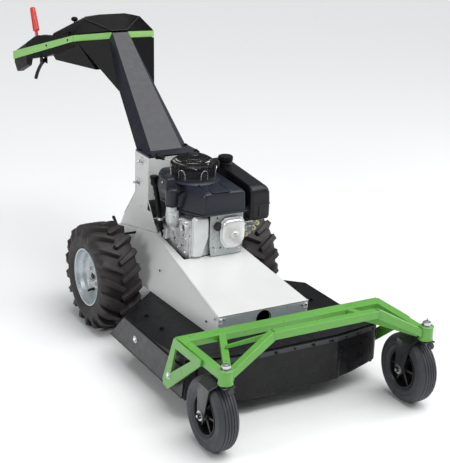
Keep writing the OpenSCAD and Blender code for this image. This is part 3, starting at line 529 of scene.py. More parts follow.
def drive_tyre(side):
    s = Shape()
    half = [(0, 197), (30, 196.6), (54, 194), (70, 187), (80, 175), (85.2, 160), (85.5, 150), (83.5, 147.5),
            (84.2, 145), (82, 135), (78.6, 130), (78.2, 126), (74, 120), (66, 113.2)]
    half = [(p.x, p.y) for p in smooth_line(half, 2)]
    loop = [(x, r) for x, r in half] + [(50, 113.2), (60, 133), (56, 170), (0, 180)]
    loop = loop + [(-x, r) for x, r in reversed(loop) if x > 0]
    n = 96
    rings = [[tyre_point(side, x, r, 2 * math.pi * i / n) for x, r in loop] for i in range(n)]
    s.quads(rings, loop=True)
    pitch = 2 * math.pi / LUGS
    for i in range(LUGS):
        for hand in (1, -1):
            base = i * pitch + (0 if hand > 0 else pitch / 2)
            wobble = random.uniform(-0.004, 0.004)
            # across the tread, over the shoulder and down the sidewall: x, inner r, outer r, lag, width
            stations = [(-6, 190, 214.5, 0.150, 17), (-2, 190, 216, 0.142, 20), (20, 190, 216, 0.083, 22),
                        (42, 190, 215.6, 0.020, 24), (62, 186, 214, -0.042, 26),
                        (76, 178, 207.5, -0.085, 28),
                        (83.5, 168, 192, -0.104, 27), (86.0, 160, 176, -0.116, 25),
                        (84.6, 152, 160, -0.124, 22)]
            rings = []
            for k, (x, r0, r1, lag, w) in enumerate(stations):
                a = base + lag + wobble
                nxt, prv = stations[min(k + 1, len(stations) - 1)], stations[max(k - 1, 0)]
                dx, dt = nxt[0] - prv[0], (nxt[3] - prv[3]) * 205
                if k > 5:
                    dx, dt = 1.0, -0.35
                ln = math.hypot(dx, dt)
                nx, na = -dt / ln, dx / ln
                out_x = x
                in_x = x - (0 if k < 5 else 6 + 2 * (k - 5))
                ring = []
                for u, r, xx in ((-0.5, r0, in_x), (-0.40, r1, out_x), (0.40, r1, out_x), (0.5, r0, in_x)):
                    wu = u * w * (1.25 if r == r0 else 1.0)
                    if k > 5:
                        ring.append(tyre_point(side, hand * xx, r, a + wu / r))
                    else:
                        ring.append(tyre_point(side, hand * (xx + nx * wu), r, a + na * wu / r))
                rings.append(ring)
            s.quads(rings, r=2.2, seg=2, angle=35)
    s.build("drive_tyre_" + side_name(side), "rear_tyre_" + side_name(side), smooth=50)


def drive_rim(side):
    s = Shape()
    name = side_name(side)
    hw = TYRE_W / 2
    prof = [(108, -hw + 24), (112.8, -hw + 24), (112.8, hw - 22), (114, hw - 17), (118, hw - 13.4),
            (118.4, hw - 11.4),
            (116, hw - 10.6), (112, hw - 12), (109.5, hw - 17), (108, hw - 24), (104, hw - 30),
            (97, hw - 35),
            (94, hw - 40), (92, hw - 50), (86, hw - 56), (74, hw - 60), (64, hw - 60), (58, hw - 56),
            (53, hw - 49),
            (48, hw - 46.5), (23, hw - 46.5), (23, hw - 52), (46, hw - 52), (54, hw - 60), (62, hw - 66),
            (76, hw - 66), (90, hw - 60), (97, hw - 50), (99, hw - 41), (104, hw - 36), (108, hw - 30)]
    n = 72
    rings = [[tyre_point(side, h, r, 2 * math.pi * i / n) for r, h in prof] for i in range(n)]
    s.quads(rings, loop=True)
    ax = outward(side)

    def hub(h):
        return side * (WHEEL_X + h), 0, TYRE_R

    s.cylinder(hub(-hw - 140), ax, 15, 2 * hw + 95, n=32, r=1.5, key="zinc")
    s.lathe([(15, 0), (48, 0), (48, 6), (28, 8), (24, 14), (15, 14)], hub(hw - 60), ax, n=40, r=0.8,
            key="gear")
    s.lathe([(0, 0), (13, 0), (13, 3), (9.5, 6), (0, 6.6)], hub(hw - 45), ax, n=28, key="gasket")
    for k in range(4):
        a = math.radians(90 * k + 45)
        p = tyre_point(side, hw - 46.5, 36, a)
        s.bolt(p, ax, 17, head=10, key="zinc", stud=13)
    p = tyre_point(side, hw - 57, 70, math.radians(18))
    s.tube([p, p + Vector((side * 10, 0, 0)), p + Vector((side * 20, 0, -2)),
            p + Vector((side * 27, 0, -4))],
           [7, 5.5, 4.6, 4.2], n=14, key="gasket")
    s.build("drive_rim_" + name, "rear_rim_" + name, smooth=40)


for hand in (1, -1):
    drive_tyre(hand)
    drive_rim(hand)


# ---- casters --------------------------------------------------------------

CASTER_R, PIVOT_X, CASTER_Y, TRAIL = 130, 407, -1172, 78


def caster_centre(side):
    return side * PIVOT_X, CASTER_Y + TRAIL, CASTER_R


def caster_tyre(side):
    name = side_name(side)
    s = Shape()
    half = [(0, 127.2), (1.2, 127.4), (1.8, 130), (8.5, 130), (9.2, 127.2), (11.2, 127), (12, 129.6),
            (19.5, 128.6),
            (20.3, 126), (22.3, 125.5), (23, 127.6), (29, 124.3), (33, 120.6), (34.4, 117.4), (36, 117),
            (38.2, 112), (39, 104), (38.8, 99), (37.6, 97.6), (37.4, 94), (38, 92.8), (37.4, 86), (34, 79),
            (31, 74.3)]
    loop = half + [(-x, r) for x, r in reversed(half) if x > 0]
    centre = caster_centre(side)
    s.lathe([(r, x) for x, r in loop], centre, "x", n=96)
    s.build("caster_tyre_skin_" + name, "caster_tyre_" + name, smooth=38, weighted=False)


def caster_rim(side):
    name = side_name(side)
    s = Shape()
    centre = caster_centre(side)
    prof = [(74.0, -31), (74.0, 31), (73, 34), (70, 34.4), (67, 32), (65.6, 26), (65, 8), (64, 0), (65, -8),
            (65.6, -26), (67, -32), (70, -34.4), (73, -34)]
    s.lathe(prof, centre, "x", n=72)
    s.lathe([(6.05, -36), (17, -36), (20, -33), (22, -20), (24, 0), (22, 20), (20, 33), (17, 36),
             (6.05, 36)],
            centre, "x", n=40, r=0.6, seg=1)
    s.lathe([(22, -5), (66, -3.5), (66, 3.5), (22, 5)], centre, "x", n=60)
    for k in range(6):
        a = math.radians(60 * k)
        m = Matrix.Translation(centre) @ Matrix.Rotation(a, 4, "X")
        pts = [(w * x, y, z * w2) for (y, w, w2) in ((18, 26, 5.5), (66, 24, 4.5)) for x in (-1, 1)
               for z in (-1, 1)]
        s.hull(pts, r=1.6, seg=2, turn=m)
    s.build("caster_rim_moulding_" + name, "caster_rim_" + name, smooth=38)


for hand in (1, -1):
    caster_tyre(hand)
    caster_rim(hand)


# ---- engine ---------------------------------------------------------------

CRANK_Y, PLATE_Z = -160, 352
FLANK_X = -101    # the crankcase's outer face on the right
ROPE_START = Vector((-62, 64 + CRANK_Y, 692))
ROPE_WAY = Vector((-0.66, 0.72, 0.214)).normalized()


def rounded_rect(x0, y0, x1, y1, radius, n=5):
    """Corner points of a rounded rectangle, counter-clockwise."""
    return round_polygon([(x0, y0), (x1, y0), (x1, y1), (x0, y1)], radius, n)


def round_polygon(corners, radius, n=5):
    """Outline through corners, each rounded off over a length of radius along its two sides."""
    out = []
    count = len(corners)
    for i in range(count):
        a, p, b = (Vector(corners[(i + d) % count]) for d in (-1, 0, 1))
        ra = min(radius, (a - p).length * 0.48)
        rb = min(radius, (b - p).length * 0.48)
        start, end = p + (a - p).normalized() * ra, p + (b - p).normalized() * rb
        for k in range(n + 1):
            t = k / n
            q = start * (1 - t) ** 2 + p * 2 * t * (1 - t) * 0.94 + end * t ** 2
            q = q / ((1 - t) ** 2 + 2 * t * (1 - t) * 0.94 + t ** 2)
            out.append((q.x, q.y))
    return out


def blower_housing():
    s = Shape()
    # lofted cover: height, inset, lean of the right flank, corner radius, rise from front to back
    levels = [(538, 1, 0, 9, -8), (546, 0, 0, 9, -8), (547.5, 4, 0, 9, -8), (562, 4, 3, 9, -6),
              (590, 4.5, 10, 10, 6),
              (612, 5, 15, 12, 15), (622, 7, 18, 14, 18), (627, 11, 20, 16, 20), (629.5, 18, 22, 20, 21),
              (630, 30, 24, 24, 22)]
    rings = []
    for z, inset, lean, rad, rise in levels:
        ring = []
        west = -104 + inset + lean
        for x, y in round_polygon([(-60 + inset * 0.7 + lean * 0.3, -366 + inset),
                                   (134 - inset, -366 + inset),
                                   (134 - inset, -10 - inset), (west, -10 - inset),
                                   (west, -265 - inset * 0.2)], rad):
            ring.append((x, y, z + rise * (y + 366) / 356 - (4 if z > 620 else 0) * (x + 60) / 194))
        rings.append(ring)
    s.quads(rings)
    # collar that the starter drum stands on, and the scroll bead round it
    s.lathe([(72, 596), (88, 596), (88.5, 640), (87.5, 648), (86, 650), (72, 650)], (0, CRANK_Y, 0), n=72,
            r=1, seg=1)
    s.lathe([(86, 632), (110, 632), (112, 636), (108, 641), (98, 644), (86, 646)], (0, CRANK_Y, 0), n=72)
    # pressed ribs that run forward over the top
    for x, y0, y1, z0, z1 in ((66, -346, -268, 627, 634), (-30, -346, -262, 629, 636)):
        s.hull([(x + dx, y, z + dz) for dx in (-6, 6) for y, z in ((y0, z0), (y1, z1)) for dz in (-4, 3)],
               r=2.4)
    # duct on the right flank with its raised edge
    s.hull([(-106, -50, 556), (-106, -140, 556), (-84, -50, 556), (-84, -150, 556), (-98, -56, 640),
            (-98, -128, 634), (-80, -52, 644), (-80, -136, 636)], r=8, seg=3)
    s.tube([(-103, -176, 552), (-100, -192, 576), (-95, -214, 596), (-88, -240, 612), (-80, -266, 622)],
           [3, 3.5, 3.5, 3, 2.4], n=10)
    # folded flange along the foot of the cover
    s.tube([(-60, -367, 543), (40, -367.5, 543), (134, -367, 543), (134.5, -340, 543)], 2.2, n=8)
    s.tube([(-60, -367, 543), (-105, -264, 541), (-105, -180, 539)], 2.2, n=8)
    # raised blank plate on the front slope
    s.hull([(x, y, z) for x, y in ((-20, -361), (60, -361), (60, -334), (-20, -334))
            for z in (629 + (y + 352) * 0.06 - x * 0.02, 632.6 + (y + 352) * 0.06 - x * 0.02)], r=1.2)
    s.build("blower_cover", "blower_housing", smooth=50)


def recoil_cover():
    s = Shape()
    c = (0, CRANK_Y, 0)
    s.lathe([(78, 650.4), (84, 650.4), (84, 684), (94, 684.5), (99, 686), (101, 689), (101, 694),
             (99.5, 697), (96, 698),
             (93, 696.5), (91, 692), (78, 690)], c, n=96)
    # louvre rings and uprights under the rim, with a bright zinc arch every sixty degrees: a painted
    # highlight on each arch window's rim
    for z in (656, 661.5, 667, 672.5, 678):
        s.lathe([(83.4, z - 1.2), (86.8, z - 1.8), (87.0, z), (83.4, z + 1.4)], c, n=96)
    for k in range(6):
        a0 = math.radians(k * 60 - 88.3)
        for j in (-2, -1, 1, 2):
            m = Matrix.Translation(c) @ Matrix.Rotation(a0 + math.radians(30 + 6.5 * j), 4, "Z")
            s.hull([(r, w, z) for r in (83, 87.8) for w in (-1.1, 1.1) for z in (652, 684)], r=0.5, seg=1,
                   turn=m)
        arch = []
        for i in range(15):
            t = math.pi * i / 14
            w, z = 15 * math.cos(t), 660 + 27 * math.sin(t) ** 0.8
            a = a0 + w / 91
            out = 88.6 + 4 * math.sin(t)
            arch.append((c[0] + out * math.cos(a), c[1] + out * math.sin(a), z))
        arch = [(arch[0][0], arch[0][1], 648)] + arch + [(arch[-1][0], arch[-1][1], 648)]
        s.tube(arch, 1.7, n=8, key="zinc")
        m = Matrix.Translation(c) @ Matrix.Rotation(a0, 4, "Z")
        s.hull([(r, w, z) for r in (83, 87.9) for w,
                z in ((-13.5, 650), (13.5, 650), (13.5, 672), (-13.5, 672), (0, 684))],
               key="gasket", turn=m)
    # screen: a dished plate, rings and short bars with gaps between them

    def dome(r):
        return 733.5 - 36 * (r / 94) ** 2.5

    plate = [(r, dome(r) - 4.5) for r in (0, 20, 40, 56, 70, 84, 93)]
    s.lathe([(0, 690)] + [(93, 690)] + plate[::-1], c, n=72, key="screen")
    radii = (22, 33, 44, 55, 65.5, 75, 84, 92)
    for r in radii:
        s.lathe([(r - 1.5, dome(r) - 5), (r + 1.5, dome(r) - 5), (r + 1.3, dome(r)),
                 (r - 1.3, dome(r) + 0.3)], c,
                n=72, key="drum")
    for r0, r1, n in zip(radii, radii[1:], (22, 32, 42, 52, 62, 70, 76)):
        for k in range(n):
            a = 2 * math.pi * (k + 0.5 * (r0 % 3)) / n
            m = Matrix.Translation(c) @ Matrix.Rotation(a, 4, "Z")
            s.hull([(r, w, dome(r) + dz) for r in (r0, r1) for w in (-0.9, 0.9) for dz in (-5, -0.4)],
                   key="drum", turn=m)
    s.lathe([(0, 724), (22, 724), (23, 731), (20, 734.5), (12, 735.8), (0, 736)], c, n=48, key="drum")
    way = Shape()
    way.tube([ROPE_START - ROPE_WAY * 26, ROPE_START + ROPE_WAY * 40], 7, n=16)
    s.build("starter_drum", "recoil_cover", smooth=35, weighted=False, cutters=[way])


def starter_grip():
    s = Shape()
    s.tube([ROPE_START + ROPE_WAY * t for t in (33, 38, 46, 55, 61, 67, 71.5, 72.5)],
           [6.5, 8, 8.2, 9.6, 13.2, 13.2, 11.4, 8], n=20)
    n = 120
    line = [ROPE_START + ROPE_WAY * (-108 + 143 * i / n) for i in range(n + 1)]
    s.tube(line, [2.5 + 0.35 * math.sin(i * 1.7) for i in range(n + 1)], n=8, key="rope")
    s.build("starter_handle", "starter_grip", smooth=60)


def fuel_tank():
    s = Shape()
    levels = [(497, 154, 231, -364, -26, 10, 4), (501, 150, 235, -368, -20, 13, 6),
              (510, 149, 238, -370, -14, 14, 8),
              (556, 149, 238, -370, -12, 14, 14), (558, 148, 240, -371.5, -10, 15, 15),
              (562, 148, 240, -371.5, -10, 15, 16),
              (564, 149, 238, -370, -12, 14, 16), (606, 150, 236, -369, -12, 14, 24),
              (618, 151, 233, -365, -16, 16, 30),
              (625, 152, 228, -358, -26, 18, 35), (630, 153, 220, -348, -40, 18, 38),
              (632, 156, 212, -338, -56, 18, 40)]
    rings = []
    for z, x0, x1, y0, y1, rad, rise in levels:
        ring = []
        for x, y in rounded_rect(x0, y0, x1, y1, rad):
            k = max(0, min(1, (y + 370) / 330))
            ring.append((x - k * max(0, (z - 606)) * 0.33, y, z + rise * k))
        rings.append(ring)
    s.quads(rings)
    # moulded ridge on the front, raised top pad, neck and mounting ears
    s.box((184, -373.5, 512), (192, -366, 552), r=2.4)
    s.hull([(166, -330, 628), (206, -330, 628), (200, -200, 646), (158, -200, 646), (170, -326, 635),
            (202, -326, 635),
            (196, -204, 651), (162, -204, 651)], r=3)
    s.lathe([(18, 652), (27, 652), (27.5, 672), (25, 676), (18, 676)], (166, -125, 0), n=40, r=0.8, seg=1)
    s.box((134.5, -300, 562), (151, -100, 588), r=2)
    for y in (-330, -60):
        s.box((206, y - 14, 488), (234, y + 14, 508 + (y + 370) * 0.02), r=4)
        s.bolt((221, y, 488), "-z", 10, head=6, key="zinc")
    s.build("tank_body", "fuel_tank", smooth=50)


def fuel_cap():
    s = Shape()
    c = (166, -125, 0)

    def lobes(a, r, depth):
        return r - depth * (0.5 - 0.5 * math.cos(14 * a)) ** 2

    rings = []
    for z, r, depth in ((676.4, 27, 0), (676.8, 28.5, 0), (680, 29.5, 0), (681, 30.8, 3.2),
                        (694, 30.8, 3.4), (697.5, 29.6, 3),
                        (699.6, 27, 1.5), (700.3, 24, 0), (699.6, 21, 0), (698.4, 19, 0)):
        rings.append([(c[0] + lobes(2 * math.pi * i / 112, r, depth) * math.cos(2 * math.pi * i / 112),
                       c[1] + lobes(2 * math.pi * i / 112, r, depth) * math.sin(2 * math.pi * i / 112), z)
                      for i in range(112)])
    s.quads(rings)
    s.cylinder((166, -125, 664), "z", 17.9, 13, n=32, r=1)
    s.build("fuel_cap_moulding", "fuel_cap", smooth=50)


def oil_tube():
    s = Shape()
    line = smooth_line([(-108, -142, 396), (-122, -142, 420), (-131, -141, 446), (-133, -139, 474),
                        (-134, -134, 504),
                        (-134, -118, 546), (-134, -98, 586), (-134, -88, 606)], 5)
    n = len(line)
    s.tube(line, [9 + 1.6 * i / n for i in range(n)], n=20)
    s.lathe([(0, 398), (13, 398), (13.5, 402), (13.5, 410), (11, 412), (0, 412)], (-113, -142, 0), n=24)
    # funnel mouth with its ribbed filler cap
    s.lathe([(0, 598), (11, 598), (14.4, 604), (14.6, 622), (16.4, 625), (17.9, 630), (17.9, 632),
             (0, 632)],
            (-134, -82, 0), n=36)
    rings = []
    for z, r, depth in ((631, 15.5, 0.0), (632, 16.5, 1.0), (636, 16.5, 1.4), (637.6, 15, 0.8),
                        (638, 12, 0)):
        rings.append([(-134 + (r - depth * (i % 2)) * math.cos(math.pi * i / 18),
                       -82 + (r - depth * (i % 2)) * math.sin(math.pi * i / 18), z) for i in range(36)])
    s.quads(rings)
    # breather hose and clip beside the tube
    s.tube(smooth_line([(-118, -168, 470), (-122, -170, 510), (-120, -168, 550), (-112, -164, 590)], 4), 5,
           n=12)
    s.lathe([(9.6, 470), (12.6, 470), (12.6, 480), (9.6, 480)], (-133, -139, 0), n=24, key="zinc")
    s.build("oil_filler", "oil_tube", smooth=45)


def starter_motor():
    s = Shape()
    c = (-131, -232, 0)
    s.lathe([(0, 552), (13, 552), (19, 554), (23, 558.5), (24.8, 566), (25, 606), (24.4, 618), (22, 625),
             (17, 628), (0, 628)],
            c, n=44)
    s.lathe([(24.5, 574), (25.6, 574), (25.6, 577), (24.5, 577)], c, n=44)
    s.hull([(-150, -222, 618), (-106, -222, 618), (-106, -150, 618), (-150, -150, 618), (-143, -214, 661),
            (-106, -214, 661), (-106, -156, 661), (-143, -156, 661)], r=7, seg=3)
    s.hull([(-149, -222, 600), (-108, -222, 600), (-108, -168, 600), (-149, -168, 600), (-149, -222, 622),
            (-108, -222, 622), (-108, -168, 622), (-149, -168, 622)], r=5)
    s.dome_screw((-148, -184, 640), "-x", 9, 4)
    # plated drive end of the motor
    s.lathe([(0, 534), (17, 534), (21, 537), (21, 549), (18, 554), (0, 554)], c, n=36, key="cast")
    s.build("electric_starter", "starter_motor", smooth=42)


def crankcase():
    s = Shape()
    s.lathe([(76, PLATE_Z), (118, PLATE_Z), (118, PLATE_Z + 12), (112, PLATE_Z + 15), (104, PLATE_Z + 18),
             (103, PLATE_Z + 112), (96, PLATE_Z + 130), (94, PLATE_Z + 166), (90, PLATE_Z + 170),
             (76, PLATE_Z + 170)],
            (0, CRANK_Y, 0), n=64, r=1)
    s.box((-100, -282, PLATE_Z), (100, -36, PLATE_Z + 16), r=4)
    s.hull([(x, y, z) for x in (FLANK_X, 10) for y in (-318, -168) for z in (374, 500)]
           + [(x, y, 512) for x in (-97, 10) for y in (-318, -176)], r=5, seg=3)
    s.box((-98, -312, 354), (-40, -190, 378), r=3)
    # round boss whose recessed bore is filled with a black disc: painted shade in the recess
    boss = (FLANK_X, -290, 479)
    s.lathe([(12.5, -8), (27, -8), (27, 7), (25.5, 10.5), (22, 12), (19, 11.4), (16.5, 8), (14, 6),
             (12.5, 5)], boss, "-x", n=48)
    s.lathe([(0, -8), (12.6, -8), (12.6, 0.6), (8, 1.6), (0, 1.8)], boss, "-x", n=36, key="gasket")
    # stepped flanges of the castings along the flank
    for y0, y1, z0, z1, out in ((-317, -300, 378, 448, 5), (-317, -240, 372, 388, 5),
                                (-258, -236, 388, 452, 4),
                                (-252, -176, 452, 466, 6), (-250, -196, 486, 508, 5),
                                (-226, -176, 384, 398, 6)):
        s.hull([(FLANK_X - d, y, z) for d in (-4, out) for y in (y0, y1) for z in (z0, z1)], r=2.6, seg=2)
    for y, z in ((-309, 384), (-309, 440), (-247, 384), (-247, 446), (-214, 459), (-184, 459), (-236, 500),
                 (-206, 500),
                 (-190, 391), (-306, 504), (-262, 504)):
        s.lathe([(0, -6), (7.4, -6), (6.8, 5), (6, 6), (0, 6)], (FLANK_X, y, z), "-x", n=20)
        s.bolt((-106.6, y, z), "-x", 8, head=4.6, washer=False, key="zinc")
    for y0, z0, y1, z1 in ((-296, 388, -264, 440), (-290, 452, -300, 392), (-262, 470, -236, 478),
                           (-276, 505, -262, 492),
                           (-228, 404, -206, 448), (-200, 400, -216, 446), (-310, 450, -304, 466)):
        s.tube([(FLANK_X, y0, z0), (FLANK_X - 0.5, y1, z1)], 3.4, n=8)
    for y, z, h in ((-282, 414, 16), (-226, 424, 12), (-192, 430, 18)):
        s.hull([(x, y + dy, z + dz) for x in (-96, -107) for dy in (-9, 9) for dz in (-h / 2, h / 2)], r=3)
    # black discs where bores sit between the ribs: painted shade inside the holes
    for y, z, r in ((-270, 402, 6), (-232, 440, 4.5), (-208, 414, 6.5), (-282, 446, 4), (-228, 476, 5),
                    (-196, 478, 4)):
        s.lathe([(0, 0), (r, 0), (r, 6.2), (0, 6.2)], (-97, y, z), "-x", n=16, key="gasket")
    # plated cylinder under the starter, and the pad of the oil tube
    s.lathe([(0, 470), (14, 470), (26, 486), (27, 492), (27, 532), (25, 536), (0, 536)], (-122, -226, 0),
            n=40)
    s.lathe([(26, 512), (28.6, 513), (28.6, 520), (26, 521)], (-122, -226, 0), n=40)
    s.lathe([(0, 442), (22, 442), (26, 447), (26, 516), (23, 524), (17, 526), (0, 526)], (-94, -196, 0),
            n=40)
    s.hull([(-126, -176, 396), (-90, -176, 396), (-90, -112, 396), (-126, -112, 396), (-118, -170, 440),
            (-88, -170, 440),
            (-88, -116, 440), (-118, -116, 440)], r=6, seg=3)
    s.bolt((-122, -150, 424), "-x", 10, head=6)
    for a in range(0, 360, 45):
        t = math.radians(a + 12)
        s.bolt((111 * math.cos(t), CRANK_Y + 111 * math.sin(t), PLATE_Z + 14), "z", 10, head=7)
    s.cylinder((-96, -60, PLATE_Z + 14), "z", 9, 40, n=20, r=1.5)
    s.build("crankcase_casting", "crankcase", smooth=42)


def cylinder_head():
    s = Shape()
    s.box((-98, -326, PLATE_Z + 12), (-12, -318.3, PLATE_Z + 164), r=2.4, seg=2)
    for i in range(11):
        z = PLATE_Z + 18 + i * 12.5
        s.box((-13, -326, z), (4, -318.3, z + 5), r=1)
    # spark plug with its black boot
    s.tube([(-4, -322, 500), (12, -346, 496), (26, -356, 492)], [9, 9, 8], n=16, key="gasket")
    s.lathe([(0, -6), (13, -6), (15, 0), (15, 8), (11, 13), (0, 14)], (10, -350, 486), "-y", n=28,
            key="gasket")
    s.build("cylinder_fins", "cylinder_head", smooth=42)


def head_cover():
    s = Shape()
    outline = [(-90, 374), (-82, 366), (-51, 366), (-20, 440), (-19, 449), (-19, 514), (-28, 528),
               (-82, 530), (-90, 522)]

    def level(inset, y):
        cx, cz = -57, 450
        return [(x + (cx - x) * inset / 38, y, z + (cz - z) * inset / 80) for x, z in outline]

    s.quads([level(0, -326.3), level(0, -331)], r=1.2)
    s.quads([level(2.5, -330.5), level(3.5, -341), level(7, -344)], r=4, seg=4)
    for x, z in ((-82, 377), (-82, 520), (-29, 518), (-28, 448), (-58, 373)):
        s.lathe([(0, -3), (6.5, -3), (6.5, 3), (5, 4), (0, 4)], (x, -331, z), "-y", n=18)
        s.bolt((x, -334.6, z), "-y", 7.5, head=4, washer=False)
    s.build("rocker_cover", "head_cover", smooth=42)


def muffler():
    s = Shape()
    cx, cz = 76, 457

    def level(scale, y):
        ring = []
        for i in range(48):
            a = 2 * math.pi * i / 48
            k = 4.2
            c, q = math.cos(a), math.sin(a)
            rr = (abs(c) ** k + abs(q) ** k) ** (-1 / k)
            x, z = 54 * rr * c, 63 * rr * q
            if z < -24:
                x *= 1 - 0.0075 * (-24 - z)
            ring.append((cx + x * scale, y, cz + z * scale))
        return ring

    s.quads([level(0.90, -349), level(0.97, -350), level(1.0, -353), level(1.0, -357), level(0.965, -358.5),
             level(0.93, -359), level(0.915, -364), level(0.885, -369), level(0.82, -373),
             level(0.70, -375.2),
             level(0.4, -376.2), level(0.15, -376.4)])
    s.tube([Vector(p) for p in level(0.985, -356)] + [Vector(level(0.985, -356)[0])], 2.0, n=8)
    s.lathe([(0, -3), (17, -3), (17.5, 1), (15, 2.4), (0, 2.6)], (cx, -375.5, cz), "-y", n=36)
    s.lathe([(0, 0), (9.5, 0), (10, 2), (8, 5.2), (4, 6.8), (0, 7)], (cx, -377, cz), "-y", n=24, key="zinc")
    s.box((cx - 24, -350, cz - 30), (cx + 32, -288, cz + 36), r=5)
    s.build("silencer", "muffler", smooth=45)


def heat_shield():
    s = Shape()
    z0, z1 = PLATE_Z + 14, PLATE_Z + 194
    outline = [(-18, z0 + 40), (-12, z0 - 2), (126, z0 - 2), (129, z0 + 30), (129, z1), (-18, z1)]
    s.quads([[(x, -342, z) for x, z in outline], [(x, -346, z) for x, z in outline]], r=0.9, seg=1)
    s.hull([(x, y, z) for x in (-8, 122) for y, z in ((-342, z0), (-346, z0), (-330, z0 - 9),
                                                      (-333, z0 - 11))], r=0.8, seg=1)
    cut = Shape()
    for x, z, r in ((-2, 400, 3.6), (-2, 470, 3.6), (124, 392, 3.6), (30, 396, 4.4), (12, 520, 5),
                    (40, 536, 5),
                    (116, 532, 4), (64, 388, 2.4)):
        cut.cylinder((x, -340, z), "-y", r, 12, n=20)
    for x, z in ((8, 384), (112, 378), (-10, 440)):
        s.bolt((x, -346, z), "-y", 8, head=4.5)
    s.build("shield_plate", "heat_shield", smooth=40, cutters=[cut])


def carburettor():
    s = Shape()
    s.box((150, -330, 436), (196, -270, 486), r=6, seg=3)
    s.lathe([(0, 421), (15, 421), (17, 424), (17, 437), (0, 437)], (173, -300, 0), n=32)
    s.lathe([(0, 415), (5, 415), (5, 422), (0, 422)], (173, -300, 0), n=6, key="yellow_zinc")
    s.lathe([(0, 0), (13, 0), (13, 66), (0, 66)], (103, -276, 464), (67, -20, 0), n=28)
    s.cylinder((165, -310, 484), "z", 5, 9, n=16, r=0.6)
    # governor arm, springs, link rods and their plated screws
    s.box((132, -338, 470), (150, -335.5, 480), r=1, key="zinc")
    s.box((130, -340, 480), (200, -337.5, 488), r=1, key="zinc")
    s.tube([(136, -344, 486), (150, -345, 482), (172, -345, 480), (198, -344, 486)], 1.3, n=8, key="zinc")
    coil = [(138 + 44 * t / 96, -343 + 3.4 * math.cos(t * 1.1), 468 + 3.4 * math.sin(t * 1.1))
            for t in range(97)]
    s.tube(coil, 0.8, n=6, key="zinc")
    for x, z in ((146, 452), (190, 484), (198, 474), (152, 430), (188, 452)):
        s.bolt((x, -333 if z < 470 else -341, z), "-y", 10, head=6, key="yellow_zinc")
    s.tube(smooth_line([(196, -300, 460), (212, -304, 454), (220, -300, 470), (222, -288, 496)], 4), 3.6,
           n=12, key="gasket")
    s.tube(smooth_line([(150, -322, 440), (142, -334, 424), (134, -340, 406), (128, -330, 390)], 4), 3.0,
           n=12, key="gasket")
    s.build("carburettor_body", "carburettor", smooth=42)


for make in (blower_housing, recoil_cover, starter_grip, fuel_tank, fuel_cap, oil_tube, starter_motor,
             crankcase,
             cylinder_head, head_cover, muffler, heat_shield, carburettor):
    make()


# ---- deck and front flap --------------------------------------------------

DECK_Z, DECK_EDGE_X = 204, 404


def deck():
    s = Shape()
    s.copy("deck_shell", 1.4)
    # folded rim along the top, and weld beads where the plates meet at the chamfered corners
    for hand in (1, -1):
        x = hand * DECK_EDGE_X
        s.tube([(x, -400, DECK_Z), (x, -645, DECK_Z), (x, -888, 239)], 2.0, n=8)
        s.tube([(x, -400, DECK_Z - 0.5), (hand * 204, -215, DECK_Z - 0.5)], 2.0, n=8)
        s.weld([(x + hand * 0.5, -400, z) for z in (120, 198)], 1.8, key="black_steel", pitch=1.3)
        for y in (-560, -430):
            s.bolt((hand * 330, y, DECK_Z), "z", 13, head=7, key="black_steel")
    s.build("deck_pressing", "deck_shell")


def skirts():
    s = Shape()
    s.copy("side_skirts", 1.0)
    for hand in (1, -1):
        s.tube([(hand * 409, -876, 82), (hand * 409, -273, 82)], 1.8, n=8)
        s.tube([(hand * 409, -892, 198), (hand * 409, -402, 198)], 1.6, n=8)
    s.build("skirt_plates", "side_skirts")


def flap_path(n):
    """Points (x, y) along the flap from its right end to its left end, with the outward normal."""
    corners = [(-374, -917.0), (-190, -946.0), (190, -946.0), (374, -917.0)]
    cuts = [0]
    for a, b in zip(corners, corners[1:]):
        cuts.append(cuts[-1] + math.dist(a, b))
    out = []
    for i in range(n + 1):
        d = cuts[-1] * i / n
        k = min(2, next(j for j in range(3) if d <= cuts[j + 1] + 1e-6))
        a, b = Vector(corners[k]), Vector(corners[k + 1])
        t = (d - cuts[k]) / (cuts[k + 1] - cuts[k])
        q = a.lerp(b, t)
        u = (b - a).normalized()
        normal = Vector((u.y, -u.x))
        out.append((q, -normal if normal.y > 0 else normal, d - cuts[-1] / 2))
    return out


def flap():
    s = Shape()
    z_top = DECK_Z + 30
    z_low = z_top - 172
    n, rows = 150, 26
    cols = []
    for q, out, d in flap_path(n):
        wave = (3.2 * math.sin(d / 46 + 0.6) + 2.0 * math.sin(d / 23 + 2.0)
                + 1.4 * noise.noise((d / 70, 3, 1)))
        fold = 5.5 * math.exp(-((d - 192) / 9) ** 2) - 4 * math.exp(-((d - 214) / 12) ** 2)
        lift = 34 * max(0, (abs(d) - 150) / 230) ** 1.4
        column = []
        for r in range(rows + 1):
            t = r / rows
            z = z_top + (z_low + lift - z_top) * t
            ease = max(0, (t - 0.14) / 0.86)
            ripple = 2.0 * ease * noise.noise((d / 60, t * 2.5, 7))
            push = (3.0 + wave * 0.55 + fold * 0.7) * ease ** 1.3 + ripple
            column.append((q + out * min(9.5, max(0.2, push + 0.6)), out, z))
        cols.append(column)
    thick = 5.5
    rings = [[(*(q + out * thick), z) for q, out, z in column] + [(*q, z) for q, out, z in reversed(column)]
             for column in cols]
    s.quads(rings, r=0.6, seg=1, angle=60)
    s.build("rubber_flap", "front_flap", smooth=60, weighted=False)


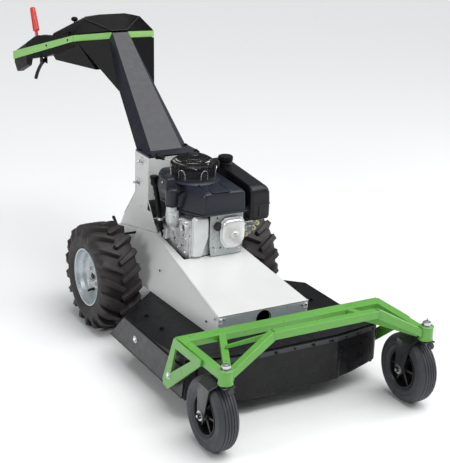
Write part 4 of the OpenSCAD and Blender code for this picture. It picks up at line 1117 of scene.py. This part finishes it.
def strip():
    s = Shape()
    pts = flap_path(90)
    rings = []
    for q, out, _ in pts:
        a, b = q + out * 6.2, q + out * 9.6
        rings.append([(a.x, a.y, 216), (b.x, b.y, 216.6), (b.x, b.y, 231.4), (a.x, a.y, 232)])
    s.quads(rings, r=0.5, seg=1, angle=60)
    for d0 in (-360, -285, -225, -150, -75, 0, 75, 150, 225, 285, 360):
        q, out, _ = min(pts, key=lambda row: abs(row[2] - d0))
        b = q + out * 9.4
        s.dome_screw((b.x, b.y, 224), (out.x, out.y, 0), 9, 3.4, key="black_steel")
    s.build("flap_clamp", "flap_strip", smooth=40)


# ---- front frame ----------------------------------------------------------

ARCH_Y, ARCH_Z = (-1149, -1119), (377, 406)    # depth and height of the front arch's bar


def frame_parts():
    s = Shape()
    s.copy("frame_rear_tube", 2.4, 3)
    s.build("cross_tube", "frame_rear_tube")

    s = Shape()
    low, high = ARCH_Z
    for hand in (1, -1):
        s.hull([(hand * x, y, z) for x, z in ((213, low), (219, high), (206, high), (206, low))
                for y in ARCH_Y]
               + [(hand * x, y, z) for x, z in ((384.6, 285), (384.6, 316)) for y in (-1181, -1151)], r=3,
               seg=3)
        s.hull([(hand * x, -1122 + dy, z) for x in (201, 217) for dy in (-3, 3) for z in (378, 396)]
               + [(hand * x, -1004 + dy, z) for x in (300, 316) for dy in (-3, 3) for z in (307.2, 319)],
               r=1.4)
        s.weld([(hand * 383, -1181, 284), (hand * 383, -1181, 316), (hand * 384, -1152, 318)], 2.6)
        s.weld([(hand * 213, -1150, 378), (hand * 214, -1150, 405)], 1.6)
    s.box((-216, ARCH_Y[0], ARCH_Z[0]), (216, ARCH_Y[1], ARCH_Z[1]), r=3, seg=3)
    s.build("front_arch", "frame_arch")

    for hand, name in ((1, "left"), (-1, "right")):
        s = Shape()
        s.copy("frame_arm_" + name, 2.0, 3)
        px, py = hand * PIVOT_X, CASTER_Y
        s.lathe([(13.1, 271.5), (25.6, 271.5), (26.4, 273), (26.4, 276), (25, 277.5), (25, 318),
                 (26.2, 319.5), (26.2, 323),
                 (25, 324.3), (13.1, 324.3)], (px, py, 0), n=48, r=0.4, seg=1)
        # welds where the tubes meet the caster housing and the cross tube
        for a0, a1, z in ((60, 130, 284), (60, 130, 306)):
            pts = [(px + hand * 25 * math.cos(math.radians(a)), py + 25 * math.sin(math.radians(a)), z)
                   for a in range(a0, a1 + 1, 14)]
            s.weld(pts, 2.4)
        s.weld([(hand * 424.2, -872, 283), (hand * 424.2, -872, 306)], 2.2)
        s.weld([(hand * 423.6, -1046, 306.2), (hand * 423.6, -860, 306.2)], 1.7, pitch=1.1)
        s.weld([(hand * 290, -873.5, 307), (hand * 266, -873.5, 307)], 1.9)
        s.build("frame_side_" + name, "frame_arm_" + name)


# ---- bodywork -------------------------------------------------------------

NOSE_Y = -735


def hood():
    s = Shape()
    s.copy("hood", 2.2, 3)
    # nose: recessed panel in the grey rim paint, painted shade for the white hood's shaded front face,
    # under a folded lip, with side tabs and a surround for the notch
    notch = [(29.5 * math.cos(math.pi * i / 16), 256 + 29.5 * math.sin(math.pi * i / 16))
             for i in range(17)]
    outline = [(29.5, 222)] + notch + [(-29.5, 222), (-186, 222), (-186, 284), (0, 288), (186, 284),
                                       (186, 222)]
    s.quads([[(x, NOSE_Y + dy, z) for x, z in outline] for dy in (-1.2, 1)], key="rim")
    s.tube([(-194, NOSE_Y - 0.8, 293.5), (194, NOSE_Y - 0.8, 293.5)], 2.6, n=10)
    for hand in (1, -1):
        s.hull([(hand * x, y, z) for x in (174, 193) for y in (NOSE_Y - 2.6, NOSE_Y) for z in (262, 292)],
               r=1.4)
        s.dome_screw((hand * 184, NOSE_Y - 2.4, 279), "-y", 11, 4)
        s.dome_screw((hand * 193.5, -716, 279), outward(hand), 10, 4)
        for py, pz, px in ((-660, 248, 203.5), (-520, 252, 200), (-250, 300, 190)):
            s.dome_screw((hand * (px - 4.4), py, pz), outward(hand), 9, 3.4, key="gasket")
        # pressed crease along the flank
        s.tube([(hand * 192.4, -728, 291), (hand * 136.8, -112, 399)], 1.6, n=8)
    rim = [(29.5, 222)] + notch + [(-29.5, 222)]
    s.tube([(x, NOSE_Y - 1.8, z) for x, z in rim], 1.8, n=8, key="black_steel")
    s.build("hood_cover", "hood")


def tower():
    s = Shape()
    s.copy("tower", 1.8, 3)
    for hand in (1, -1):
        # folded flange down the front edge and the gusset that spreads to the hood
        s.tube([(hand * 117, 4, 681), (hand * 120, 1, 512), (hand * 130, -102, 406)], 2.2, n=8)
        s.tube([(hand * 116, 129, 681), (hand * 120, 118, 512), (hand * 130, 204, 394)], 2.0, n=8)
        s.dome_screw((hand * 124, 60, 470), outward(hand), 9, 3.4)
    s.build("tower_shell", "tower")


def column():
    s = Shape()
    s.copy("column", 2.2, 3)
    # closing plate on the column's head
    s.hull([(-36, 540, 1095.4), (36, 540, 1095.4), (55, 603, 1078.6), (-55, 603, 1078.6),
            (-36, 540, 1099), (36, 540, 1099), (55, 603, 1082), (-55, 603, 1082)], r=1, key="console")
    for hand in (1, -1):
        for y in (18, 112):
            s.bolt((hand * 106, y, 690), "z", 11, head=6, key="black_steel")
    s.build("column_box", "column")


# ---- console and handle ---------------------------------------------------

ARM_FRONT, ARM_RUN = (192, 605, 1084), (108, 468, -146)
CLUTCH_F, DRIVE_F = 0.63, 0.56


def arm_at(f):
    """Point on the left arm's outer edge, a share f of the way from the console to the grip's end."""
    return Vector([a + b * f for a, b in zip(ARM_FRONT, ARM_RUN)])


def lever_pin(f, drop):
    """Middle of a lever's pin in the left arm."""
    return arm_at(f) + Vector((-22, 0, -drop))


def console():
    s = Shape()
    s.copy("console_tray", 2.0, 3)
    s.build("console_body", "console_tray")

    s = Shape()
    s.copy("console_cover", 2.4, 3)
    # grey rods along the folds of the front panel: painted highlights on the fold edges
    for hand in (1, -1):
        s.tube([(hand * 35, 549.6, 1105), (hand * 80, 581, 1128), (hand * 131, 622.5, 1148)], 1.7, n=8,
               key="grey_steel")
    # grey rod along the panel's lower fold: painted highlight on that edge
    s.tube([(-36, 549.6, 1105.6), (36, 549.6, 1105.6)], 1.7, n=8, key="grey_steel")
    s.build("console_top", "console_cover")

    s = Shape()
    s.copy("handle_arms", 2.4, 3)
    # closed front end of the clutch lever's slot
    pin = lever_pin(CLUTCH_F, 32)
    for hand in (1, -1):
        block = []
        for y in (-58, -40.6):
            f = CLUTCH_F + y / ARM_RUN[1]
            q = arm_at(f)
            top = 1044.2 + (0.56 - f) * 51
            block += [(hand * x, q.y, z) for x in (pin.x - 6.5, q.x - 7.1) for z in (q.z - 54, top - 0.4)]
        s.hull(block, r=0.3, seg=1)
    s.build("arm_shells", "handle_arms")

    s = Shape()
    # the strip takes the lighter trim green: painted light on the frame's green
    s.copy("console_trim", 1.0, 2)
    for hand in (1, -1):
        s.hull([(hand * x, y, z) for x, y in ((191.4, 603.2), (192.6, 605.4)) for z in (1057.6, 1084.4)],
               r=0.3, seg=1,
               key="gasket")
    s.build("handle_strip", "console_trim")

    s = Shape()
    s.copy("handle_grips", 7, 4)
    s.build("end_grips", "handle_grips", smooth=50)


def levers():
    c = lever_pin(CLUTCH_F, 32)
    c.x = -c.x
    s = Shape()
    s.lathe([(4.05, -4.5), (10, -4.5), (10, 4.5), (4.05, 4.5)], c, "x", n=32, r=0.6, seg=1, key="zinc")
    s.hull([c + Vector((dx, dy, dz)) for dx in (-4.8, 4.8) for dy,
            dz in ((-4, 7), (11, 5), (20, 96), (41, 91))], r=2.2)
    d = Vector((0, 0.418, 0.908))
    root = c + Vector((0, 28, 92))
    s.tube([root + d * t for t in (0, 2, 6, 30, 60, 90, 103, 107.5, 109.5)],
           [12.6, 14.6, 15.2, 14.4, 13.5, 12.6, 12.1, 10, 6], n=28)
    s.build("red_grip", "clutch_lever", smooth=60)

    c = lever_pin(DRIVE_F, 74)
    c.x = -c.x
    s = Shape()
    s.lathe([(4.05, -8), (9, -8), (9, 8), (4.05, 8)], c, "x", n=28, r=0.8)
    line = smooth_line([(3, -7), (26, -22), (53, -45), (78, -71), (94, -94), (98, -101)], 4)
    s.tube([c + Vector((0, q.x, q.y)) for q in line], [7.9] * (len(line) - 1) + [5.6], n=18)
    s.build("drive_bail", "drive_lever", smooth=60)

    c = Vector((-212, 56, 356))
    s = Shape()
    s.lathe([(0, -5), (9, -5), (9, 5), (0, 5)], c, "x", n=24, r=0.8)
    s.cylinder(c, "x", 5, 82, n=20, r=0.5)
    tip = c + Vector((0, 78, 50))
    s.tube([c, c.lerp(tip, 0.5), c.lerp(tip, 0.8), tip], [5, 4.6, 5.6, 6.8], n=16)
    s.lathe([(0, -7), (4, -6), (6.9, -2), (6.9, 2), (4, 6), (0, 7)], tip, (0, 0.84, 0.54), n=20)
    s.build("side_lever_arm", "side_lever", smooth=60)

    c = Vector((-126, 750, 1060))
    s = Shape()
    s.lathe([(3.05, -3), (7, -3), (7, 3), (3.05, 3)], c, "x", n=24, r=0.4, seg=1)
    s.hull([c + Vector((dx, dy, dz)) for dx in (-2.6, 2.6) for dy in (-3.6, 3.6) for dz in (6, 62)], r=0.9)
    s.lathe([(0, 58), (9, 59), (14, 63), (15.4, 68), (13.6, 73.4), (8, 77), (0, 78.4)], c, "z", n=28)
    s.build("throttle_knob", "throttle_lever", smooth=60)


# ---- casters' forks and the loose fasteners -------------------------------

def caster_fork(side):
    name = side_name(side)
    s = Shape()
    s.copy("caster_fork_" + name, 1.2, 2)
    px, py = side * PIVOT_X, CASTER_Y
    s.lathe([(13.2, 324.4), (19, 324.4), (19, 327), (13.2, 327)], (px, py, 0), n=32, key="zinc")
    s.bolt((px, py, 327.2), "z", 27.6, head=12.6, washer=False, key="zinc")
    s.lathe([(0, 338), (4.2, 338), (4.2, 343), (2.6, 344), (2.6, 347), (3.6, 348.4), (2.4, 351), (0, 351)],
            (px, py, 0), n=16,
            key="zinc")
    for k in (-1, 1):
        s.bolt((px + k * 48, py + TRAIL, CASTER_R), outward(k), 19, head=8, key="zinc", stud=12)
    s.build("swivel_fork_" + name, "caster_fork_" + name)


def fasteners():
    s = Shape()
    for hand in (1, -1):
        ax = outward(hand)
        s.bolt((hand * 409, -500, 150), ax, 15, head=7)
        s.bolt((hand * 432, -820, 150), ax, 15, head=7)
        s.bolt((hand * 118, 70, 655), ax, 17, head=9, stud=22)
        s.bolt((hand * 120, 95, 560), ax, 17, head=9, stud=22)
        for f in (0.09, 0.43):
            q = arm_at(f) + Vector((0, 0, -14))
            q.x *= hand
            s.dome_screw(q, (hand * 0.974, -0.225, 0), 10, 3.2, key="gasket")
        for x in (80, 160):
            s.dome_screw((hand * x, -958, 224), "-y", 10, 3.4, key="black_steel")
        s.dome_screw((hand * 168, -737, 280), "-y", 9, 3)
        for y in (-235, -85):
            s.bolt((hand * 85, y, PLATE_Z - 8), "-z", 15, head=8)
    for a in range(45, 360, 90):
        t = math.radians(a)
        s.bolt((58 * math.cos(t), -565 + 58 * math.sin(t), 212), "z", 14, head=7)
    s.build("fasteners", "bolts", smooth=40, weighted=False)


for make in (deck, skirts, flap, strip, frame_parts, hood, tower, column, console, levers, fasteners):
    make()
for hand in (1, -1):
    caster_fork(hand)


# ---- stage ----------------------------------------------------------------

def add_stage():
    bm = bmesh.new()
    bmesh.ops.create_grid(bm, x_segments=1, y_segments=1, size=40)
    me = bpy.data.meshes.new("floor")
    bm.to_mesh(me)
    bm.free()
    floor = bpy.data.objects.new("floor", me)
    scene.collection.objects.link(floor)
    m, nt, b, coord = new_material("pale_floor")
    tone = noise_node(nt, coord, 0.8, 2)
    nt.links.new(mix(nt, tone, (0.93, 0.935, 0.94), (0.95, 0.95, 0.95)), b.inputs["Base Color"])
    b.inputs["Roughness"].default_value = 0.7
    b.inputs["Specular IOR Level"].default_value = 0.2
    me.materials.append(m)


def add_area(name, at, target, size, power):
    light = bpy.data.lights.new(name, "AREA")
    light.shape = "RECTANGLE"
    light.size, light.size_y = size
    light.energy = power
    ob = bpy.data.objects.new(name, light)
    scene.collection.objects.link(ob)
    ob.location = at
    ob.rotation_euler = (Vector(target) - Vector(at)).to_track_quat("-Z", "Y").to_euler()


WORLD_STRENGTH, SUN_ENERGY, SUN_SPREAD, AREA_POWER = 0.22, 2.05, 60, 60


def add_lights():
    world = bpy.data.worlds.new("studio")
    scene.world = world
    world.use_nodes = True
    bg = world.node_tree.nodes["Background"]
    bg.inputs["Color"].default_value = (0.95, 0.97, 1.0, 1)
    bg.inputs["Strength"].default_value = WORLD_STRENGTH
    sun = bpy.data.lights.new("sky_soft", "SUN")
    sun.energy = SUN_ENERGY
    sun.angle = math.radians(SUN_SPREAD)
    ob = bpy.data.objects.new("sky_soft", sun)
    scene.collection.objects.link(ob)
    ob.rotation_euler = Vector((-0.25, 0.25, -1)).to_track_quat("-Z", "Y").to_euler()
    add_area("key_front", (0.4, -2.6, 5.0), (0, -0.2, 0.5), (2.6, 1.6), AREA_POWER)
    add_area("left_fill", (4.2, -1.6, 2.6), (0, 0, 0.5), (1.6, 2.4), AREA_POWER)
    add_area("right_fill", (-4.4, -1.2, 2.8), (0, -0.1, 0.5), (1.6, 1.6), AREA_POWER)


add_stage()
add_lights()
scene.view_settings.view_transform = "Standard"

bpy.context.view_layer.update()
